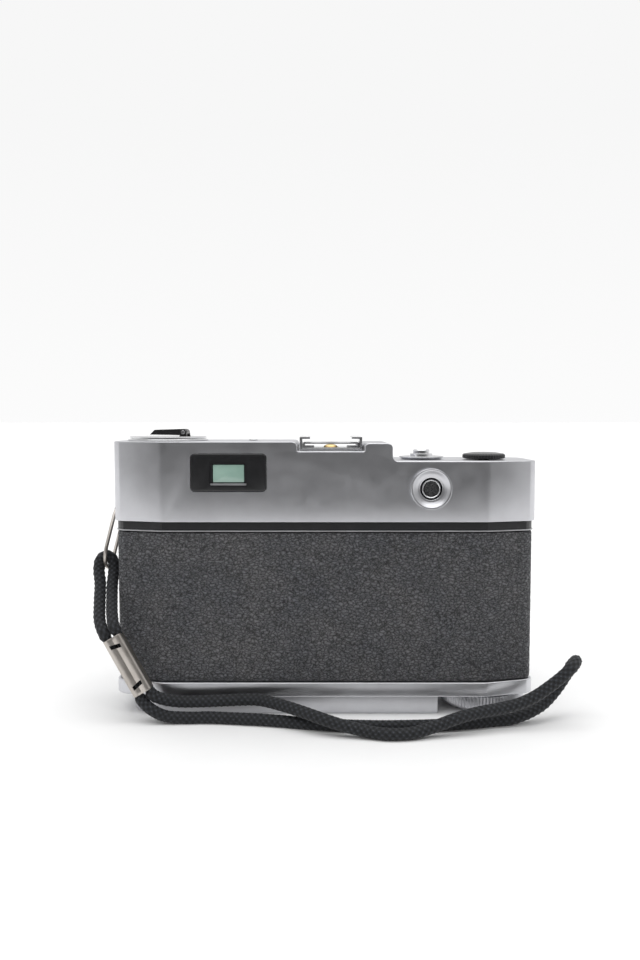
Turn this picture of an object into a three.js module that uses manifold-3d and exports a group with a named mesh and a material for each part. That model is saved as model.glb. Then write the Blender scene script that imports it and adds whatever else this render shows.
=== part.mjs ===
// A 35 mm viewfinder camera with a hinged back, a fixed lens and a braided wrist strap.
// Lengths are in millimetres. X runs to the right seen from behind, Y towards the lens, Z up.
import * as THREE from "three";
import { mergeVertices } from "three/addons/utils/BufferGeometryUtils.js";
import Module from "manifold-3d";

const wasm = await Module();
wasm.setup();

// ---------------------------------------------------------------- driving dimensions
const FIT = 0.15; // gap between fixed pieces that meet
const RUN = 0.3; // gap round pieces that move

// Plan outline of the body, seen from above
const HALF_WIDTH = 68.1;
const DEPTH = 35;
const FLAT_HALF = 52; // half width of the flat back and front
const FACET_HALF = 65.7; // where the slanted end facets stop
const FACET_DROP = 3.9;
const CORNER_DROP = 7.2;
// Control point of the rounded corner, in from the end and from the back
const CORNER_PULL = { x: 0.3, y: 5.4 };
const BASE_INSET = 0.2;
const SKIN_INSET = 0.65; // outer face of the leather
const SHELL_INSET = 1.6; // outer face of the metal under the leather
const RAIL_INSET = 0.7; // rail of the casting between leather and top cover

// Heights above the table
const PLINTH_TOP = 6.4;
const BASE_TOP = 11.1;
const DOOR_BOTTOM = 11.4;
const DOOR_TOP = 59.4;
const RAIL_TOP = 62.7;
const COVER_BOTTOM = 62.9;
const SHOE_FLOOR = 85.4;
const RIGHT_DECK = 82.3;
const HUMP_TOP = 88;
const LEFT_DECK = 88.5;

// Steps of the top deck along X
const LEFT_DECK_END = -8.8;
const HUMP_START = 12.6;
const HUMP_END = 21.5;
const STEP_FILLET = 1.9;
const SHOE_STEP = 1.6;
const FOOT_FILLET = 0.4;
const COVER_WALL = 1.3;

// Back door and the film path
const DOOR_SEAM = 12;
const DOOR_WALL = 1.2;
const HINGE = { x: 67.35, y: 12 };
const KNUCKLE_R = 0.65;
const PIN_R = 0.32;
const EAR_START = 0.6; // the fixed ears, measured from the door's ends
const EAR_END = 3.7;
const FILM_PLANE = 8;
const LENS_Z = 35.4;
const FRAME_WIDTH = 36;
const FRAME_HEIGHT = 24;
const CHAMBER_FLOOR = 13;
const CHAMBER_CEILING = 57.8;

// Vertical shafts: X and Y of each
const REWIND = { x: -52.2, y: 16.8 };
const TAKE_UP = { x: 52.8, y: 15 };
const SPROCKET = { x: 32, y: 14.2 };
const RELEASE = { x: 32.3, y: 17 };
const CRANK_PIN = { x: REWIND.x + 5.6, z: LEFT_DECK + 2.8 }; // along Y, at the crank's right end
const CASSETTE_CHAMBER_R = 12.8;
const TAKE_UP_CHAMBER_R = 12;

// Wind wheel under the right end
const WHEEL_R = 13.9;
const WHEEL_TEETH = 80;
const WHEEL_BOTTOM = 0.55;
const WHEEL_TOP = 6.05;

// Viewfinder eyepiece and battery-check button in the back wall of the top cover
const BEZEL = { x0: -42.5, x1: -18.6, z0: 72.7, z1: 84.6 };
const EYEPIECE = { x0: -35.7, x1: -25.4, z0: 75.4, z1: 81.4 };
const FINDER_X = -30.5;
const CHECK = { x: 33.5, z: 73.6 };
const WINDOWS = { x0: -45, x1: 16, z0: 70.5, z1: 84 }; // black panel in the front of the top cover

// Accessory shoe, to the usual 18.6 mm foot
const SHOE_X = 2;
const SHOE_INNER = 18.8;
const SHOE_WALL = 0.9;
const SHOE_START = 10.5;
const SHOE_LENGTH = 18.5;
const SHOE_TOP = 89.9;
const SHOE_LIP = 2.6;

// Lens: radius and stretch along Y of each ring
const LENS_MOUNT_R = 23.6;
const FOCUS_R = 26.8;
const SHUTTER_RING_R = 26;
const LENS_FRONT = 70;

// Underside: the plinth's outline and the centres of the fittings in it
const PLINTH = { left: -63, right: 36.8, back: 3.2, front: 31.8, corner: 9 };
const TRIPOD = { x: 0, y: 17.5 };
const BATTERY = { x: -25, y: 17.5 };
const RELEASE_STUD = { x: 29.5, y: 17.5 };
const SCREW = { x: -23.8, y: 17 };

// Wrist strap: lugs, ring, crimp and cord
const CORD_R = 1.8;
const CORD_SIDES = 8;
const LUG = { x: 70.1, y: 24, z: 64.8 };
const LUG_EYE_R = 1.9;
const LUG_HOLE_R = 1.35;
const LUG_THICK = 1.4;
const RING_WIRE_R = 0.6;
const RING_BEND_R = 5.5;
const RING_DROP = 20.6;
const RING_FOOT = new THREE.Vector3(-72.8, 14, 46.7);
const CRIMP_TOP = new THREE.Vector3(-66.9, -4, 27);
const CRIMP_FOOT = new THREE.Vector3(-56.9, -6, 10);
const LANE_HALF = 1.9; // from the crimp's middle to each strand's centre
const CRIMP_WIDE = 6.5;
const CRIMP_DEEP = 5.4;
const CRIMP_WALL = 0.5;

// ---------------------------------------------------------------- finishes
const FINISHES = {
  satinChrome: { color: 0xb9bbbf, roughness: 0.38, metalness: 1 },
  polishedChrome: { color: 0xd2d4d8, roughness: 0.15, metalness: 1 },
  aluminium: { color: 0xc2c4c6, roughness: 0.45, metalness: 1 },
  steel: { color: 0x8f9296, roughness: 0.35, metalness: 1 },
  brass: { color: 0xb08d4a, roughness: 0.3, metalness: 1 },
  blackPaint: { color: 0x141414, roughness: 0.5, metalness: 0.2 },
  blackPlastic: { color: 0x101012, roughness: 0.3, metalness: 0 },
  leather: { color: 0x2b2c2e, roughness: 0.7, metalness: 0 },
  glass: { color: 0xb9d6cb, roughness: 0.05, metalness: 0 },
  braid: { color: 0x111113, roughness: 0.95, metalness: 0 },
};

// ---------------------------------------------------------------- solids
const QUARTER = Math.PI / 2;

// Signed volume of an indexed geometry, which is negative when its faces point inwards.
function signedVolume(geometry) {
  const place = geometry.attributes.position;
  const index = geometry.index.array;
  const [a, b, c] = [new THREE.Vector3(), new THREE.Vector3(), new THREE.Vector3()];
  let sum = 0;
  for (let i = 0; i < index.length; i += 3) {
    a.fromBufferAttribute(place, index[i]);
    b.fromBufferAttribute(place, index[i + 1]);
    c.fromBufferAttribute(place, index[i + 2]);
    sum += a.dot(b.cross(c)) / 6;
  }
  return sum;
}

// A closed geometry as a solid, with its shared vertices merged and its faces out.
function solid(geometry) {
  const bare = geometry.clone();
  bare.deleteAttribute("normal");
  bare.deleteAttribute("uv");
  const merged = mergeVertices(bare, 1e-4);
  const triVerts = new Uint32Array(merged.index.array);
  if (signedVolume(merged) < 0) triVerts.reverse();
  return new wasm.Manifold(
    new wasm.Mesh({ numProp: 3, vertProperties: merged.attributes.position.array, triVerts }),
  );
}

// The three.js geometry of a solid.
function geometryOf(shape) {
  const mesh = shape.getMesh();
  const geometry = new THREE.BufferGeometry();
  geometry.setAttribute("position", new THREE.BufferAttribute(mesh.vertProperties, 3));
  geometry.setIndex(new THREE.BufferAttribute(mesh.triVerts, 1));
  geometry.computeVertexNormals();
  return geometry;
}

function box(x0, x1, y0, y1, z0, z1) {
  const geometry = new THREE.BoxGeometry(x1 - x0, y1 - y0, z1 - z0);
  geometry.translate((x0 + x1) / 2, (y0 + y1) / 2, (z0 + z1) / 2);
  return solid(geometry);
}

// A round bar about a vertical axis through centre, from z0 to z1.
function post(centre, radius, z0, z1, sides = 24) {
  const geometry = new THREE.CylinderGeometry(radius, radius, z1 - z0, sides);
  geometry.rotateX(QUARTER);
  geometry.translate(centre.x, centre.y, (z0 + z1) / 2);
  return solid(geometry);
}

// A round bar about an axis along Y through (x, z), from y0 to y1.
function rod(x, z, radius, y0, y1, sides = 24) {
  const geometry = new THREE.CylinderGeometry(radius, radius, y1 - y0, sides);
  geometry.translate(x, (y0 + y1) / 2, z);
  return solid(geometry);
}

// A turned piece about a vertical axis; profile holds [radius, z] pairs.
function turned(centre, profile, sides = 24) {
  const points = profile.map(([r, z]) => new THREE.Vector2(r, z));
  const geometry = new THREE.LatheGeometry(points, sides);
  geometry.rotateX(QUARTER);
  geometry.translate(centre.x, centre.y, 0);
  return solid(geometry);
}

// A turned piece about an axis along Y through (x, z); profile holds [radius, y] pairs.
function turnedAlongY(x, z, profile, sides = 32) {
  const points = profile.map(([r, y]) => new THREE.Vector2(r, y));
  const geometry = new THREE.LatheGeometry(points, sides);
  geometry.translate(x, 0, z);
  return solid(geometry);
}

// A shape drawn in X and Y, pulled up from z0 to z1.
function prism(shape, z0, z1, curveSegments = 4) {
  const geometry = new THREE.ExtrudeGeometry(shape, { depth: z1 - z0, bevelEnabled: false, curveSegments });
  geometry.translate(0, 0, z0);
  return solid(geometry);
}

// A shape drawn in X and Z, pulled along Y from y0 to y1.
function slab(shape, y0, y1, curveSegments = 4) {
  const geometry = new THREE.ExtrudeGeometry(shape, { depth: y1 - y0, bevelEnabled: false, curveSegments });
  geometry.rotateX(QUARTER);
  geometry.translate(0, y1, 0);
  return solid(geometry);
}

function roundedRectangle(x0, x1, v0, v1, radius, outline = new THREE.Shape()) {
  outline.moveTo(x0 + radius, v0);
  outline.lineTo(x1 - radius, v0);
  outline.quadraticCurveTo(x1, v0, x1, v0 + radius);
  outline.lineTo(x1, v1 - radius);
  outline.quadraticCurveTo(x1, v1, x1 - radius, v1);
  outline.lineTo(x0 + radius, v1);
  outline.quadraticCurveTo(x0, v1, x0, v1 - radius);
  outline.lineTo(x0, v0 + radius);
  outline.quadraticCurveTo(x0, v0, x0 + radius, v0);
  return outline;
}

// A ring of ridges: an outline whose radius steps between crest and root.
function ridged(x, y, crest, root, ridges) {
  const outline = new THREE.Shape();
  const steps = ridges * 2;
  for (let i = 0; i < steps; i += 1) {
    const angle = (i / steps) * Math.PI * 2;
    const radius = i % 2 ? root : crest;
    const point = [x + radius * Math.cos(angle), y + radius * Math.sin(angle)];
    if (i === 0) outline.moveTo(...point);
    else outline.lineTo(...point);
  }
  outline.closePath();
  return outline;
}

// The body's plan outline, moved inwards by inset.
function bodyOutline(inset) {
  const side = HALF_WIDTH - inset;
  const flat = FLAT_HALF - inset * 0.15;
  const facet = FACET_HALF - inset;
  const pull = side - CORNER_PULL.x;
  const bend = CORNER_PULL.y;
  const near = inset;
  const far = DEPTH - inset;
  const outline = new THREE.Shape();
  outline.moveTo(-flat, near);
  outline.lineTo(flat, near);
  outline.lineTo(facet, near + FACET_DROP);
  outline.quadraticCurveTo(pull, near + bend, side, near + CORNER_DROP);
  outline.lineTo(side, far - CORNER_DROP);
  outline.quadraticCurveTo(pull, far - bend, facet, far - FACET_DROP);
  outline.lineTo(flat, far);
  outline.lineTo(-flat, far);
  outline.lineTo(-facet, far - FACET_DROP);
  outline.quadraticCurveTo(-pull, far - bend, -side, far - CORNER_DROP);
  outline.lineTo(-side, near + CORNER_DROP);
  outline.quadraticCurveTo(-pull, near + bend, -facet, near + FACET_DROP);
  outline.closePath();
  return outline;
}

// ---------------------------------------------------------------- the part
const camera = new THREE.Group();

function add(name, finish, shape, parent = camera) {
  const mesh = new THREE.Mesh(geometryOf(shape), new THREE.MeshStandardMaterial(FINISHES[finish]));
  mesh.name = name;
  parent.add(mesh);
  return mesh;
}

// Die-cast body: cassette chamber, film gate and light tunnel, sprocket bay, take-up chamber.
function bodyCasting() {
  const wide = HALF_WIDTH + 1;
  const doorRoom = box(-wide, wide, -1, DOOR_SEAM + RUN, 0, DOOR_TOP + RUN);
  const gate = box(-23.5, 23.5, FILM_PLANE, DOOR_SEAM + 2, CHAMBER_FLOOR, CHAMBER_CEILING);
  const tunnel = box(
    -FRAME_WIDTH / 2, FRAME_WIDTH / 2, 0, 27, LENS_Z - FRAME_HEIGHT / 2, LENS_Z + FRAME_HEIGHT / 2,
  );
  const cassette = REWIND.x + CASSETTE_CHAMBER_R;
  const spool = TAKE_UP.x - TAKE_UP_CHAMBER_R;
  return prism(bodyOutline(SHELL_INSET), DOOR_BOTTOM, RAIL_TOP)
    .subtract(doorRoom)
    .add(prism(bodyOutline(RAIL_INSET), DOOR_TOP + RUN, RAIL_TOP))
    .add(gate)
    .subtract(tunnel)
    .subtract(rod(0, LENS_Z, 19.5, 22, DEPTH, 40))
    .subtract(post(REWIND, CASSETTE_CHAMBER_R, CHAMBER_FLOOR, CHAMBER_CEILING, 40))
    .subtract(box(REWIND.x * 2 - cassette, cassette, 5, REWIND.y, CHAMBER_FLOOR, CHAMBER_CEILING))
    .subtract(post(REWIND, 3, CHAMBER_CEILING - 1, RAIL_TOP + 1, 20))
    .subtract(post(TAKE_UP, TAKE_UP_CHAMBER_R, CHAMBER_FLOOR, CHAMBER_CEILING, 40))
    .subtract(box(spool, TAKE_UP.x * 2 - spool, 5, TAKE_UP.y, CHAMBER_FLOOR, CHAMBER_CEILING))
    .subtract(post(TAKE_UP, 2.6, 0, RAIL_TOP + 1, 20))
    .subtract(post(SPROCKET, 7.6, CHAMBER_FLOOR, CHAMBER_CEILING, 32))
    .subtract(box(SPROCKET.x - 7.6, SPROCKET.x + 7.6, 5, SPROCKET.y, CHAMBER_FLOOR, CHAMBER_CEILING))
    .subtract(post(SPROCKET, 2.3, 0, CHAMBER_CEILING + 2.5, 16));
}

// Leather round the front and both ends of the body, cut out round the lens.
function frontCovering() {
  const wide = HALF_WIDTH + 1;
  return prism(bodyOutline(SKIN_INSET), DOOR_BOTTOM, DOOR_TOP)
    .subtract(prism(bodyOutline(SHELL_INSET - FIT), 0, RAIL_TOP))
    .subtract(box(-wide, wide, -1, DOOR_SEAM + RUN, 0, RAIL_TOP))
    .subtract(rod(0, LENS_Z, LENS_MOUNT_R - 2.2, 20, DEPTH + 1, 40))
    .subtract(box(HALF_WIDTH - 4, wide, DOOR_SEAM, DOOR_SEAM + 2.4, 0, RAIL_TOP));
}

// The stepped outline of the top cover, seen from behind.
function coverProfile() {
  const end = HALF_WIDTH + 3;
  const profile = new THREE.Shape();
  profile.moveTo(-end, COVER_BOTTOM);
  profile.lineTo(end, COVER_BOTTOM);
  profile.lineTo(end, RIGHT_DECK);
  profile.lineTo(HUMP_END + STEP_FILLET, RIGHT_DECK);
  profile.quadraticCurveTo(HUMP_END, RIGHT_DECK, HUMP_END, RIGHT_DECK + STEP_FILLET);
  profile.lineTo(HUMP_END, HUMP_TOP - STEP_FILLET);
  profile.quadraticCurveTo(HUMP_END, HUMP_TOP, HUMP_END - STEP_FILLET, HUMP_TOP);
  profile.lineTo(HUMP_START + SHOE_STEP, HUMP_TOP);
  profile.quadraticCurveTo(HUMP_START, HUMP_TOP, HUMP_START, HUMP_TOP - SHOE_STEP);
  profile.lineTo(HUMP_START, SHOE_FLOOR);
  profile.lineTo(LEFT_DECK_END + FOOT_FILLET, SHOE_FLOOR);
  profile.quadraticCurveTo(LEFT_DECK_END, SHOE_FLOOR, LEFT_DECK_END, SHOE_FLOOR + FOOT_FILLET);
  profile.lineTo(LEFT_DECK_END, LEFT_DECK - STEP_FILLET);
  profile.quadraticCurveTo(LEFT_DECK_END, LEFT_DECK, LEFT_DECK_END - STEP_FILLET, LEFT_DECK);
  profile.lineTo(-end, LEFT_DECK);
  profile.closePath();
  return profile;
}

// Pressed and plated top cover, open below.
function topCover() {
  const wall = COVER_WALL;
  const end = HALF_WIDTH + 3;
  const inside = box(-end, LEFT_DECK_END - wall, 0, DEPTH, 0, LEFT_DECK - wall)
    .add(box(-end, HUMP_END - wall, 0, DEPTH, 0, SHOE_FLOOR - wall))
    .add(box(HUMP_START + wall, HUMP_END - wall, 0, DEPTH, 0, HUMP_TOP - wall))
    .add(box(-end, end, 0, DEPTH, 0, RIGHT_DECK - wall))
    .intersect(prism(bodyOutline(wall), COVER_BOTTOM - 1, LEFT_DECK + 1));
  const eyepiece = slab(
    roundedRectangle(BEZEL.x0 - FIT, BEZEL.x1 + FIT, BEZEL.z0 - FIT, BEZEL.z1 + FIT, 1.4), -1, 3,
  );
  const frontWindows = slab(
    roundedRectangle(WINDOWS.x0 - FIT, WINDOWS.x1 + FIT, WINDOWS.z0 - FIT, WINDOWS.z1 + FIT, 1.4),
    DEPTH - 3, DEPTH + 1,
  );
  return prism(bodyOutline(0), COVER_BOTTOM, LEFT_DECK)
    .intersect(slab(coverProfile(), -1, DEPTH + 1, 3))
    .subtract(inside)
    .subtract(eyepiece)
    .subtract(frontWindows)
    .subtract(rod(CHECK.x, CHECK.z, 3.9, -1, 3, 24))
    .subtract(post(REWIND, 3, 80, 90, 20))
    .subtract(post(TAKE_UP, 2.2, 75, 90, 16))
    .subtract(post(RELEASE, 3.4, 75, 90, 20));
}

// Base plate with the narrower plinth that the camera stands on.
function basePlate() {
  const { left, right, back, front, corner } = PLINTH;
  const plinth = new THREE.Shape();
  plinth.moveTo(right, back);
  plinth.lineTo(right, front);
  plinth.lineTo(left + corner, front);
  plinth.quadraticCurveTo(left, front - 0.8, left, front - corner);
  plinth.lineTo(left, back + corner);
  plinth.quadraticCurveTo(left, back + 0.8, left + corner, back);
  plinth.closePath();
  return prism(bodyOutline(BASE_INSET), PLINTH_TOP, BASE_TOP)
    .add(prism(plinth, 0, PLINTH_TOP + 1))
    .subtract(prism(bodyOutline(BASE_INSET + 1.4), PLINTH_TOP + 1.3, BASE_TOP + 1))
    .subtract(box(left + 13, right - 1.5, 6, 29, 1.4, BASE_TOP))
    .subtract(post(TRIPOD, 7.4, -1, 3, 24))
    .subtract(post(BATTERY, 9.3, -1, 3, 32))
    .subtract(post(RELEASE_STUD, 2.8, -1, 3, 16))
    .subtract(post(TAKE_UP, 2.6, 0, BASE_TOP, 20));
}

// Threaded bush for a tripod screw, closed above.
function tripodBush() {
  const profile = [
    [3.2, 0.2], [7.2, 0.2], [7.2, 1.4], [6, 1.6], [6, 8.5],
    [0, 8.5], [0, 7.2], [3.2, 7.2], [3.2, 0.2],
  ];
  return turned(TRIPOD, profile, 24);
}

// Coin-slotted cap over the meter battery.
function batteryCover() {
  const profile = [[0, 0.35], [8.9, 0.35], [9, 0.6], [9, 1.9], [7.8, 2.1], [7.8, 3], [0, 3]];
  const { x, y } = BATTERY;
  return turned(BATTERY, profile, 32)
    .subtract(box(x - 5.5, x + 5.5, y - 0.8, y + 0.8, -1, 1.2));
}

function batteryCell() {
  const profile = [[0, 3.4], [7.6, 3.4], [7.8, 3.7], [7.8, 8.4], [5.5, 8.9], [0, 8.9]];
  return turned(BATTERY, profile, 24);
}

function rewindReleaseButton() {
  return turned(RELEASE_STUD, [[0, 0.5], [1.9, 0.5], [2.4, 0.9], [2.4, 3.2], [0, 3.2]], 16);
}

// Hinged back: an open tray with facets, its hinge knuckle along the right edge.
function backDoor() {
  const wide = HALF_WIDTH + 2;
  const keep = box(-wide, wide, -1, DOOR_SEAM, DOOR_BOTTOM, DOOR_TOP);
  const inside = prism(bodyOutline(SHELL_INSET + DOOR_WALL), DOOR_BOTTOM + 1.1, DOOR_TOP - 1.1);
  const [low, high] = [DOOR_BOTTOM + EAR_END + RUN, DOOR_TOP - EAR_END - RUN];
  const knuckle = post(HINGE, KNUCKLE_R, low, high, 12)
    .add(box(HALF_WIDTH - 3, HINGE.x, DOOR_SEAM - KNUCKLE_R, DOOR_SEAM, low, high));
  return prism(bodyOutline(SHELL_INSET), DOOR_BOTTOM, DOOR_TOP)
    .intersect(keep)
    .subtract(inside)
    .add(knuckle)
    .subtract(post(HINGE, PIN_R + 0.1, 0, RAIL_TOP, 8));
}

function doorLeather() {
  const wide = HALF_WIDTH + 1;
  return prism(bodyOutline(SKIN_INSET), DOOR_BOTTOM, DOOR_TOP)
    .subtract(prism(bodyOutline(SHELL_INSET - FIT), 0, RAIL_TOP))
    .subtract(box(-wide, wide, DOOR_SEAM, DEPTH, 0, RAIL_TOP))
    .subtract(box(HALF_WIDTH - 4, wide, DOOR_SEAM - 1.4, DOOR_SEAM, 0, RAIL_TOP));
}

function doorHingePin() {
  return post(HINGE, PIN_R, DOOR_BOTTOM + 0.5, DOOR_TOP - 0.5, 8);
}

// Fixed ears that hold the hinge pin above and below the door's knuckle.
function hingeEar(z0, z1) {
  return post(HINGE, KNUCKLE_R, z0, z1, 12)
    .add(box(HALF_WIDTH - 0.9, HINGE.x, DOOR_SEAM + RUN, DOOR_SEAM + KNUCKLE_R, z0, z1))
    .subtract(post(HINGE, PIN_R + 0.1, z0 - 1, z1 + 1, 8));
}

function pressurePlate() {
  const plate = new THREE.Shape();
  roundedRectangle(-23, 23, LENS_Z - 16.5, LENS_Z + 16.5, 2, plate);
  return slab(plate, 6.1, 7.5);
}

// Flat leaf spring, bowed, between the door and the pressure plate.
function pressureSpring() {
  const leaf = new THREE.Shape();
  leaf.moveTo(-16, 5.7);
  leaf.quadraticCurveTo(0, 1.9, 16, 5.7);
  leaf.lineTo(16, 5.95);
  leaf.quadraticCurveTo(0, 2.4, -16, 5.95);
  leaf.closePath();
  return prism(leaf, LENS_Z - 4, LENS_Z + 4, 8);
}

// Spool with a slotted core between two flanges, on a shaft down to the wind wheel.
function takeUpSpool() {
  const low = CHAMBER_FLOOR + 0.4;
  const high = CHAMBER_CEILING - 0.4;
  const core = 6.2;
  const profile = [
    [2.4, low], [9, low], [9, low + 1.2], [core, low + 2], [core, high - 2], [9, high - 1.2], [9, high],
    [2.4, high], [2.4, low],
  ];
  return turned(TAKE_UP, profile, 20)
    .subtract(box(TAKE_UP.x - 0.9, TAKE_UP.x + 0.9, TAKE_UP.y - 8, TAKE_UP.y, LENS_Z - 14, LENS_Z + 14));
}

function windShaft() {
  const profile = [[0, WHEEL_TOP + 0.2], [2.1, WHEEL_TOP + 0.2], [2.1, RAIL_TOP + 1], [0, RAIL_TOP + 1]];
  return turned(TAKE_UP, profile, 24);
}

function windWheel() {
  const blank = [
    [0, WHEEL_BOTTOM], [WHEEL_R - 2, WHEEL_BOTTOM], [WHEEL_R + 0.6, 2.3],
    [WHEEL_R + 0.6, WHEEL_TOP], [0, WHEEL_TOP],
  ];
  return prism(ridged(TAKE_UP.x, TAKE_UP.y, WHEEL_R, WHEEL_R - 0.45, WHEEL_TEETH), 0, 8)
    .intersect(turned(TAKE_UP, blank, 32));
}

// Eight-tooth sprocket pair on its shaft.
function filmSprocket() {
  const low = CHAMBER_FLOOR + 0.4;
  const high = CHAMBER_CEILING - 0.4;
  const drum = 5.4;
  let sprocket = turned(SPROCKET, [[0, 9], [2, 9], [2, low], [4, low], [4, low + 3], [drum, low + 4],
    [drum, low + 8], [3.4, low + 9], [3.4, high - 9], [drum, high - 8], [drum, high - 4], [4, high - 3],
    [4, high], [2, high], [2, high + 2], [0, high + 2]], 16);
  for (const level of [LENS_Z - 14.2, LENS_Z + 14.2]) {
    for (let i = 0; i < 8; i += 1) {
      const tooth = new THREE.ConeGeometry(1, 2.4, 4);
      tooth.rotateZ(-QUARTER);
      tooth.translate(drum + 0.6, 0, 0);
      tooth.rotateZ((i / 8) * Math.PI * 2);
      tooth.translate(SPROCKET.x, SPROCKET.y, level);
      sprocket = sprocket.add(solid(tooth));
    }
  }
  return sprocket;
}

// Knurled film-counter knob on the right deck, with its short spindle.
function counterKnob() {
  const deck = RIGHT_DECK;
  const blank = [
    [0, 78], [1.8, 78], [1.8, deck + 0.3], [6.2, deck + 0.3], [8, deck + 0.6],
    [8, deck + 1.5], [6.4, deck + 1.95], [4, deck + 2.35], [0, deck + 2.5],
  ];
  return prism(ridged(TAKE_UP.x, TAKE_UP.y, 7, 6.75, 24), 70, 90).intersect(turned(TAKE_UP, blank, 24));
}

// ---------------------------------------------------------------- top deck controls
// Bush in the body that the rewind shaft slides in and turns with.
function rewindBush() {
  const low = CHAMBER_CEILING - 1;
  const high = LEFT_DECK - 0.4;
  return turned(REWIND, [[1.9, low], [2.7, low], [2.7, high], [1.9, high], [1.9, low]], 20);
}

function rewindShaft() {
  const tip = CHAMBER_CEILING - 8;
  return post(REWIND, 1.6, tip, LEFT_DECK + 0.7, 16)
    .subtract(box(REWIND.x - 0.6, REWIND.x + 0.6, REWIND.y - 2, REWIND.y + 2, tip - 1, tip + 4));
}

function rewindBaseRing() {
  const low = LEFT_DECK + 0.1;
  const profile = [[9.5, low], [13.3, low], [13.3, low + 0.3], [13, low + 0.5], [9.5, low + 0.5], [9.5, low]];
  return turned(REWIND, profile, 36);
}

// Disc with a dished top and two ears for the crank's pin.
function rewindKnob() {
  const low = LEFT_DECK + 0.8;
  const profile = [
    [0, low], [12.7, low], [12.7, low + 0.5], [12.4, low + 0.65],
    [11.2, low + 0.65], [9.6, low + 0.3], [0, low + 0.3],
  ];
  const ear = new THREE.Shape();
  ear.moveTo(CRANK_PIN.x - 1.3, low + 0.2);
  ear.lineTo(CRANK_PIN.x + 1.3, low + 0.2);
  ear.lineTo(CRANK_PIN.x + 1.3, CRANK_PIN.z);
  ear.absarc(CRANK_PIN.x, CRANK_PIN.z, 1.3, 0, Math.PI, false);
  ear.closePath();
  const y = REWIND.y;
  return turned(REWIND, profile, 36)
    .add(slab(ear, y - 4.6, y - 3.5))
    .add(slab(ear, y + 3.5, y + 4.6))
    .subtract(rod(CRANK_PIN.x, CRANK_PIN.z, 0.8, y - 6, y + 6, 12));
}

function crankPin() {
  return rod(CRANK_PIN.x, CRANK_PIN.z, 0.65, REWIND.y - 4.9, REWIND.y + 4.9, 12);
}

// Folding crank: a flat bar with a slanted free end.
function rewindCrank() {
  const under = LEFT_DECK + 2;
  const top = LEFT_DECK + 3.6;
  const bar = new THREE.Shape();
  bar.moveTo(CRANK_PIN.x - 11.2, under);
  bar.lineTo(CRANK_PIN.x, CRANK_PIN.z - 1);
  bar.absarc(CRANK_PIN.x, CRANK_PIN.z, 1.1, -QUARTER, QUARTER, false);
  bar.lineTo(CRANK_PIN.x - 9.6, top);
  bar.closePath();
  return slab(bar, REWIND.y - 3.2, REWIND.y + 3.2)
    .subtract(rod(CRANK_PIN.x, CRANK_PIN.z, 0.8, REWIND.y - 6, REWIND.y + 6, 12));
}

// Cold shoe: a floor with two C-shaped rails, open behind.
function accessoryShoe() {
  const floor = SHOE_FLOOR + 0.1;
  const inner = SHOE_INNER / 2;
  const outer = inner + SHOE_WALL;
  const section = new THREE.Shape();
  section.moveTo(SHOE_X - outer, floor);
  section.lineTo(SHOE_X + outer, floor);
  section.lineTo(SHOE_X + outer, SHOE_TOP);
  section.lineTo(SHOE_X + inner - SHOE_LIP, SHOE_TOP);
  section.lineTo(SHOE_X + inner - SHOE_LIP, SHOE_TOP - 0.8);
  section.lineTo(SHOE_X + inner, SHOE_TOP - 0.8);
  section.lineTo(SHOE_X + inner, floor + 0.7);
  section.lineTo(SHOE_X - inner, floor + 0.7);
  section.lineTo(SHOE_X - inner, SHOE_TOP - 0.8);
  section.lineTo(SHOE_X - inner + SHOE_LIP, SHOE_TOP - 0.8);
  section.lineTo(SHOE_X - inner + SHOE_LIP, SHOE_TOP);
  section.lineTo(SHOE_X - outer, SHOE_TOP);
  section.closePath();
  return slab(section, SHOE_START, SHOE_START + SHOE_LENGTH)
    .subtract(post({ x: SHOE_X, y: SHOE_START + 9 }, 3, 80, 95, 20));
}

// Sprung plate across the rails on two folded feet, with a hole for the contact.
function shoeSpring() {
  const floor = SHOE_FLOOR + 0.9;
  const reach = SHOE_INNER / 2 - 0.25;
  const top = SHOE_FLOOR + 2.1;
  const section = new THREE.Shape();
  section.moveTo(SHOE_X - reach, floor);
  section.lineTo(SHOE_X - reach + 3.6, floor);
  section.lineTo(SHOE_X - reach + 3.6, floor + 0.35);
  section.lineTo(SHOE_X - reach + 0.5, floor + 0.35);
  section.lineTo(SHOE_X - reach + 0.5, top);
  section.lineTo(SHOE_X + reach - 0.5, top);
  section.lineTo(SHOE_X + reach - 0.5, floor + 0.35);
  section.lineTo(SHOE_X + reach - 3.6, floor + 0.35);
  section.lineTo(SHOE_X + reach - 3.6, floor);
  section.lineTo(SHOE_X + reach, floor);
  section.lineTo(SHOE_X + reach, top + 0.4);
  section.lineTo(SHOE_X - reach, top + 0.4);
  section.closePath();
  return slab(section, SHOE_START + 0.8, SHOE_START + 16.5)
    .subtract(post({ x: SHOE_X, y: SHOE_START + 9 }, 3, 80, 95, 20));
}

function shoeContact() {
  const low = SHOE_FLOOR + 0.1;
  const profile = [[0, low], [2.5, low], [2.5, low + 0.8], [1.7, low + 1.5], [0, low + 1.8]];
  return turned({ x: SHOE_X, y: SHOE_START + 9 }, profile, 20);
}

function shutterCollar() {
  const deck = RIGHT_DECK;
  const profile = [
    [3.1, deck + 0.1], [6.6, deck + 0.1], [7.4, deck + 1.06], [7, deck + 1.06], [5.6, deck + 0.5],
    [3.9, deck + 0.45], [3.7, deck + 1.9], [3.1, deck + 1.9], [3.1, deck + 0.1],
  ];
  return turned(RELEASE, profile, 28);
}

// Release button with a tapered socket for a cable release.
function shutterButton() {
  const deck = RIGHT_DECK;
  const profile = [
    [0, 72], [1.6, 72], [1.6, 78], [2.8, 78], [2.8, deck + 2.9],
    [2.5, deck + 3.3], [1.6, deck + 3.3], [1.1, deck], [0, deck],
  ];
  return turned(RELEASE, profile, 24);
}

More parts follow.
